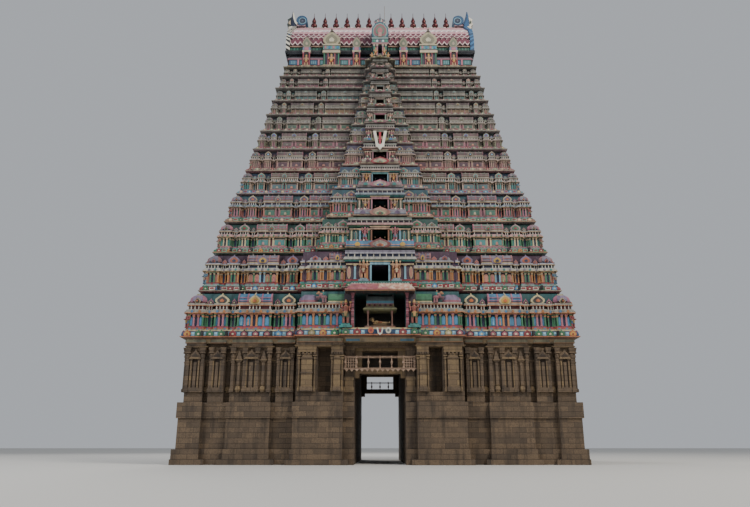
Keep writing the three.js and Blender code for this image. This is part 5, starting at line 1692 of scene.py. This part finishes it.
def big_dormer(half, top):
    """A wide dormer: three bays of green and red columns below a band and a pointed arch."""
    bm = new_mesh()
    bar(bm, 0, half, (-0.02, 0.6), (VEDI, EAVE - 0.1), "#262a38")
    for x in (-0.88, -0.42, 0.42, 0.88):
        code = "#3f7a5c" if abs(x) > 0.5 else "#9a5058"
        column = [
            (0.0, VEDI + 0.2), (0.1, VEDI + 0.24), (0.07, VEDI + 0.4), (0.07, EAVE - 0.5),
            (0.12, EAVE - 0.38), (0.0, EAVE - 0.34)
        ]
        turned(bm, column, 6, code, centre=(x * half, -0.06))
    bar(bm, 0, half + 0.06, (-0.2, 0.1), (VEDI, VEDI + 0.22), "#9a8a6c")
    put(bm, attendant, (0, -0.08, VEDI + 0.22), 0.0, (1.7, 0.8, 1.6))
    bar(bm, 0, half + 0.1, (-0.24, 0.3), (EAVE - 0.36, EAVE - 0.04), "#bcae93", taper=0.97)
    bar(bm, 0, half, (-0.12, 0.6), (EAVE - 0.04, EAVE + 0.16), "#7a5a56")
    bar(bm, 0, half + 0.02, (-0.16, 0.6), (EAVE + 0.16, EAVE + 0.66), "#5f9490")
    for i in range(4):
        x = (i - 1.5) * half * 0.5
        bar(bm, x, 0.12, (-0.2, 0.0), (EAVE + 0.24, EAVE + 0.58), (PINK, BLUE)[i % 2])
    bar(bm, 0, half + 0.12, (-0.26, 0.3), (EAVE + 0.66, EAVE + 0.84), "#b3a88c")
    gable(bm, half * 1.08, EAVE + 0.84, top - 0.1, 0.2, 0.6, "#a59c80", "#7d7862", "#c4bda4")
    for side in (-1, 1):
        for i in range(3):
            little_pot(bm, side * half * (0.9 - 0.28 * i), -0.05, EAVE + 1.0 + 0.5 * i, 0.2, "#8d8568")
    bar(bm, 0, 0.16, (-0.3, 0.2), (top - 0.5, top), "#4a4438", taper=0.5)
    return as_unit(bm, "big_dormer")


dormers = new_mesh()
for x, half, top in DORMERS:
    unit = small_dormer(half, top) if half < 0.6 else big_dormer(half, top)
    for side in (-1, 1):
        put(dormers, unit, (side * x, -6.12, 0))
        put(dormers, unit, (side * x, 6.12, 0), pi)
finish_piece(dormers, "roof_dormers", [roof_paint])

dormer_paint = lime_paint("painted_dormer_stucco", 0.45, 0.1, linear("#56606c"))
dress(dormer_paint, "centre_dormer_front", "centre_dormer_back")
middle = new_mesh()
plane = -7.7
bar(middle, 0, 0.9, (-7.88, plane), (VEDI, VEDI + 0.24), "#8f846c")
gable(middle, 0.3, VEDI + 0.24, 47.16, 0.12, 0.0, "#a08f78", "#6f7f5c", PINK)
for vert in middle.verts:
    if vert.co.z > VEDI + 0.2401 and vert.co.y > -1.0:
        vert.co.y -= 7.72
for side in (-1, 1):
    for x, code in ((0.7, "#3f7f66"), (0.34, "#a5707c")):
        bar(middle, side * x, 0.08, (-7.82, plane), (VEDI + 0.24, 48.2), code)
        bar(middle, side * x, 0.11, (-7.86, plane), (48.16, 48.4), "#a89c8c", taper=1.2)
    bar(middle, side * 0.52, 0.1, (-7.78, plane), (VEDI + 0.24, 48.4), "#2a2a38")
    put(middle, attendant, (side * 0.52, -7.84, VEDI + 0.5), 0.0, (1.1, 0.7, 1.1))
    put(middle, attendant, (side * 0.98, -7.8, VEDI + 0.02), 0.0, (1.0, 0.7, 0.9))
bar(middle, 0, 1.0, (-7.9, plane), (48.4, 48.6), "#9a6f70")
bar(middle, 0, 0.96, (-7.84, plane), (48.6, 49.12), "#4f6f70")
for i in range(5):
    code = ("#3f8a6c", "#c3ccd0", "#6c4a5c", "#c3ccd0", "#3f8a6c")[i]
    ball(middle, (-0.72 + 0.36 * i, -7.84, 48.86), (0.14, 0.06, 0.17), code, 8, 5)
bar(middle, 0, 1.02, (-7.92, plane), (49.12, 49.34), "#7f8f8c", taper=0.96)
outline = [(0.8, 49.34), (1.05, 49.95), (0.98, 50.7), (0.56, 51.35), (0.0, 51.6)]
outline += [(-x, z) for x, z in reversed(outline[:-1])]
centre_z = 50.3
for size, out, code in (
    (1.0, 0.1, "#2f5d70"), (0.86, 0.14, "#7f9a90"), (0.74, 0.18, "#8a5a60"), (0.5, 0.22, "#5f7a68"),
    (0.3, 0.26, "#a5686c")
):
    scaled = [(x * size, centre_z + (z - centre_z) * size) for x, z in outline]
    prism(middle, scaled, "y", -7.6, plane - out, code)
bar(middle, 0, 0.2, (-7.98, plane), (49.4, 50.0), "#b08a80")
for i in range(9):
    angle = radians(34 + 14 * i)
    x, z = cos(angle), sin(angle)
    leaf = [
        (0.5 * x - 0.08 * z, 51.15 + 0.5 * z + 0.08 * x), (0.5 * x + 0.08 * z, 51.15 + 0.5 * z - 0.08 * x),
        (0.92 * x, 51.2 + 0.98 * z)
    ]
    code = ("#c9c3b8", "#6c7f86", "#a8767c")[i % 3]
    prism(middle, leaf, "y", -7.55, -7.75, code)
turned(
    middle, [(0.0, 51.4), (0.16, 51.5), (0.07, 51.75), (0.12, 51.9), (0.0, 52.24)], 6, "#3a3a3c",
    centre=(0.0, -7.62)
)
finish_pair(middle, "centre_dormer_carving", FRONT_BACK, [roof_paint])

# End gables: horseshoe walls at both ends of the vault, with a striped rim, painted bands and a niche, and
# on top a horn and a curled mane. Stucco on brick, bonded to the vault's ends.
end = new_mesh()
rim = [(y + 0.26, ROOF_FOOT + (z if z == 0 else z + 0.12)) for y, z in ROOF_SECTION]
whole = rim + [(-y, z) for y, z in reversed(rim)]
prism(end, whole, "x", 11.28, 11.6, "#1c4468", "#2f6288")
for size, out, code in (
    (0.9, 11.64, "#b06f7c"), (0.82, 11.68, CREAM), (0.76, 11.66, "#3f7a6c"), (0.56, 11.7, "#a8656c"),
    (0.48, 11.73, "#2b3358")
):
    prism(end, [(y * size, ROOF_FOOT + 0.1 + (z - ROOF_FOOT) * size) for y, z in whole], "x", 11.5, out, code)
for i in range(13):
    angle = radians(12 + 13 * i)
    ball(
        end, (11.62, 3.75 * cos(angle), 50.6 + 3.2 * sin(angle)), (0.1, 0.26, 0.26),
        (GOLD, SKY, SALMON)[i % 3], 8, 5
    )
put(end, attendant, (11.72, 0, 49.3), pi / 2, (2.6, 0.12, 2.6))
for side in (-1, 1):
    block(end, (11.5, side * 1.3 - 0.12, ROOF_FOOT), (11.75, side * 1.3 + 0.12, 51.9), PINK)
    put(end, attendant, (11.72, side * 2.2, 49.1), pi / 2, (1.7, 0.12, 1.8))
block(end, (11.5, -1.5, 51.9), (11.75, 1.5, 52.15), CREAM)
for side in (-1, 1):
    for i in range(34):
        first, up = roof_point(i / 34)
        last, last_up = roof_point((i + 1) / 34)
        corners = []
        for place, toward in ((first, up), (last, last_up)):
            out = Vector((toward.y, -toward.x))
            corners.append((place + out * 0.02, place + out * 0.3))
        ring = [corners[0][0], corners[0][1], corners[1][1], corners[1][0]]
        line = [(side * p.x, ROOF_FOOT + p.y) for p in ring]
        fresh = set(end.verts)
        # Stripes white and near black on one half, two blues on the other: the same stripes as painted light
        # and shade.
        code = ((WHITE, "#15161c") if side > 0 else ("#3d6f9c", "#1f4468"))[i % 2]
        prism(end, line, "x", 11.26, 11.74, code)
        shift = Vector((0, -side * -up.x * 0.3, up.y * 0.3))
        for vert in end.verts:
            if vert not in fresh and vert.co.x < 11.5:
                vert.co -= shift * (0.0 if i < 1 else 1.0)
known = set(end.verts)
horn = [
    (11.4, 55.6), (12.1, 55.75), (12.1, 56.9), (12.06, 57.8), (11.97, 58.84), (11.86, 58.84), (11.66, 57.7),
    (11.4, 56.8)
]
prism(end, horn, "y", 0.0, 0.72, "#10141f", "#15203a")
prism(end, horn, "y", -0.72, 0.0, "#1d4670", "#24527c")
edge = [
    (11.85, 58.84), (11.62, 57.7), (11.36, 56.8), (11.16, 56.6), (11.3, 56.3), (11.56, 56.7), (11.84, 57.7),
    (11.95, 58.6)
]
prism(end, edge, "y", 0.0, 0.75, WHITE)
prism(end, edge, "y", -0.75, 0.0, "#16304e", "#1a3a5c")
ear = [(12.06, 57.8), (12.58, 57.3), (12.4, 56.9), (12.58, 56.4), (12.3, 56.1), (12.06, 56.0)]
prism(end, ear, "y", 0.0, 0.7, "#1d2a24", "#27332b")
prism(end, ear, "y", -0.7, 0.0, "#d5cdbd", "#dcd4c4")
prism(end, [(12.1, 56.3), (12.4, 56.55), (12.3, 57.0), (12.14, 57.1)], "y", 0.0, 0.74, "#b5a48c")
prism(end, [(12.18, 56.5), (12.38, 56.65), (12.32, 57.0), (12.2, 57.1)], "y", -0.74, 0.0, "#3a4a3c")
prism(
    end, [(11.7, 55.2), (12.3, 55.5), (12.36, 56.0), (11.9, 56.1), (11.5, 55.7)], "y", -0.72, 0.72, "#c9bfae",
    "#d5cdbd"
)
for vert in end.verts:
    if vert not in known and vert.co.z > 56.6:
        vert.co.y *= 1.0 - 0.9 * (vert.co.z - 56.6) / 2.24
for radius, out, code in (
    (0.76, 0.7, "#17486c"), (0.5, 0.73, "#86b2c4"), (0.42, 0.745, "#0c2440"), (0.12, 0.75, "#5d6478")
):
    drop = 0.1 if radius < 0.7 else 0.0
    ring = [
        (10.6 - drop + radius * cos(i * tau / 16), 57.03 - drop + radius * sin(i * tau / 16))
        for i in range(16)
    ]
    prism(end, ring, "y", -out, out, code)
prism(end, [(10.1, 56.2), (11.3, 56.2), (11.2, 56.6), (10.1, 56.6)], "y", -0.6, 0.6, "#8a6a74", "#a98a92")
end_piece, other = finish_pair(end, "end_gable_carving", ("right", "left"), [roof_paint])
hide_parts("end_gable_right")
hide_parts("end_gable_left")

# Ridge: a row of small white, green and pink leaves on the ridge beam, and thirteen turned copper pots with
# a thin spike each, pinned to the beam. Their glossy maroon paint is worn to a duller brown. A thin
# galvanised rod, grey with rust, stands beside the middle one.
ridge = new_mesh()
bar(ridge, 0, 11.3, (-0.33, 0.33), (55.8, 56.06), "#a9aa98")
for i in range(50):
    x = -11.05 + i * 0.451
    for y in (-0.32, 0.22):
        bar(
            ridge, x, 0.18, (y, y + 0.1), (55.94, 56.24), ("#d8cfc4", "#5f8f70", "#c79a94", "#86a57c")[i % 4],
            taper=0.5
        )
finish_piece(ridge, "ridge_leaves", [roof_paint])
copper, tree, shader = bare_material("copper_painted_maroon")
full = along_wall(tree)[0]
worn = add_node(tree, "ShaderNodeTexNoise", (), {"Vector": full, "Scale": 5.0, "Detail": 5.0})
tone = coat(tree, worn.outputs[0], (0.5, 0.7), (0.0, 0.8), linear("#4f1a1f"), linear("#75564e"))
surface(tree, shader, tone, worn.outputs[0], (0.35, 0.7), 0.22, 0.5)
shader.inputs["Metallic"].default_value = 0.55
pots = new_mesh()
line = [
    (0.0, 56.2), (0.22, 56.2), (0.36, 56.36), (0.45, 56.62), (0.38, 56.84), (0.17, 57.0), (0.3, 57.24),
    (0.27, 57.42)
]
line += [(0.14, 57.74), (0.05, 58.0), (0.03, 58.15), (0.025, 58.6), (0.0, 58.64)]
POTS, POT_SPACING = 13, 1.5
for i in range(POTS):
    turned(pots, line, 10, 0, centre=((i - POTS // 2) * POT_SPACING, 0.0))
for face in pots.faces:
    face.smooth = True
pots_piece = finish_piece(pots, "ridge_pots", [copper])
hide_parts("ridge_and_finials")
steel, tree, shader = bare_material("galvanised_rod")
full = along_wall(tree)[0]
worn = add_node(tree, "ShaderNodeTexNoise", (), {"Vector": full, "Scale": 12.0, "Detail": 3.0})
tone = coat(tree, worn.outputs[0], (0.45, 0.65), (0.0, 1.0), linear("#8a8a86"), linear("#6a4a38"))
surface(tree, shader, tone, worn.outputs[0], (0.3, 0.7), 0.3, 0.6)
shader.inputs["Metallic"].default_value = 0.9
dress(steel, "ridge_rod")

# Forehead mark: two white strokes that meet in a stem and a red stroke between them, painted boards hung
# before the seventh cornice, and a small painted one on the lowest cornice.
mark_paint = lime_paint("painted_mark_board", 0.12, 0.0)


def mark_boards(bm, z, wide, tall, face, thick):
    """The mark with its top at z + tall / 2, before the plane y = -face."""
    half = wide / 2
    for side in (-1, 1):
        stroke = [
            (0.02, -0.5), (0.3, -0.36), (0.58, -0.32), (1.0, 0.5), (0.6, 0.5), (0.26, -0.16), (0.0, -0.22)
        ]
        prism(bm, [(side * x * half, z + v * tall) for x, v in stroke], "y", -face, -face - thick, WHITE)
    prism(
        bm,
        [
            (-0.12 * half, z - 0.2 * tall), (0.12 * half, z - 0.2 * tall), (0.16 * half, z + 0.44 * tall),
            (-0.16 * half, z + 0.44 * tall)
        ],
        "y", -face, -face - thick * 0.9, "#a02c3c", "#a8323f"
    )


mark = new_mesh()
mark_boards(mark, CORNICE_Z[6], 1.5, 2.3, bay_front(6) + 0.12, 0.12)
mark_piece = finish_piece(mark, "forehead_mark_boards", [mark_paint])
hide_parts("forehead_mark")
small = new_mesh()
face = bay_front(0) - 0.05
mark_boards(small, 12.16, 0.68, 0.72, face, 0.1)
for x, code in ((-0.87, "#b5603c"), (0.8, "#c9c4b4")):
    ring = [(x + 0.27 * cos(i * tau / 12), 12.27 + 0.3 * sin(i * tau / 12)) for i in range(12)]
    prism(small, ring, "y", -face, -face - 0.08, code)
    prism(
        small, [(x + (u - x) * 0.45, 12.27 + (v - 12.27) * 0.45) for u, v in ring], "y", -face, -face - 0.1,
        RED, RED if x < 0 else "#5f6a66"
    )
finish_piece(small, "small_mark_on_cornice", [mark_paint])
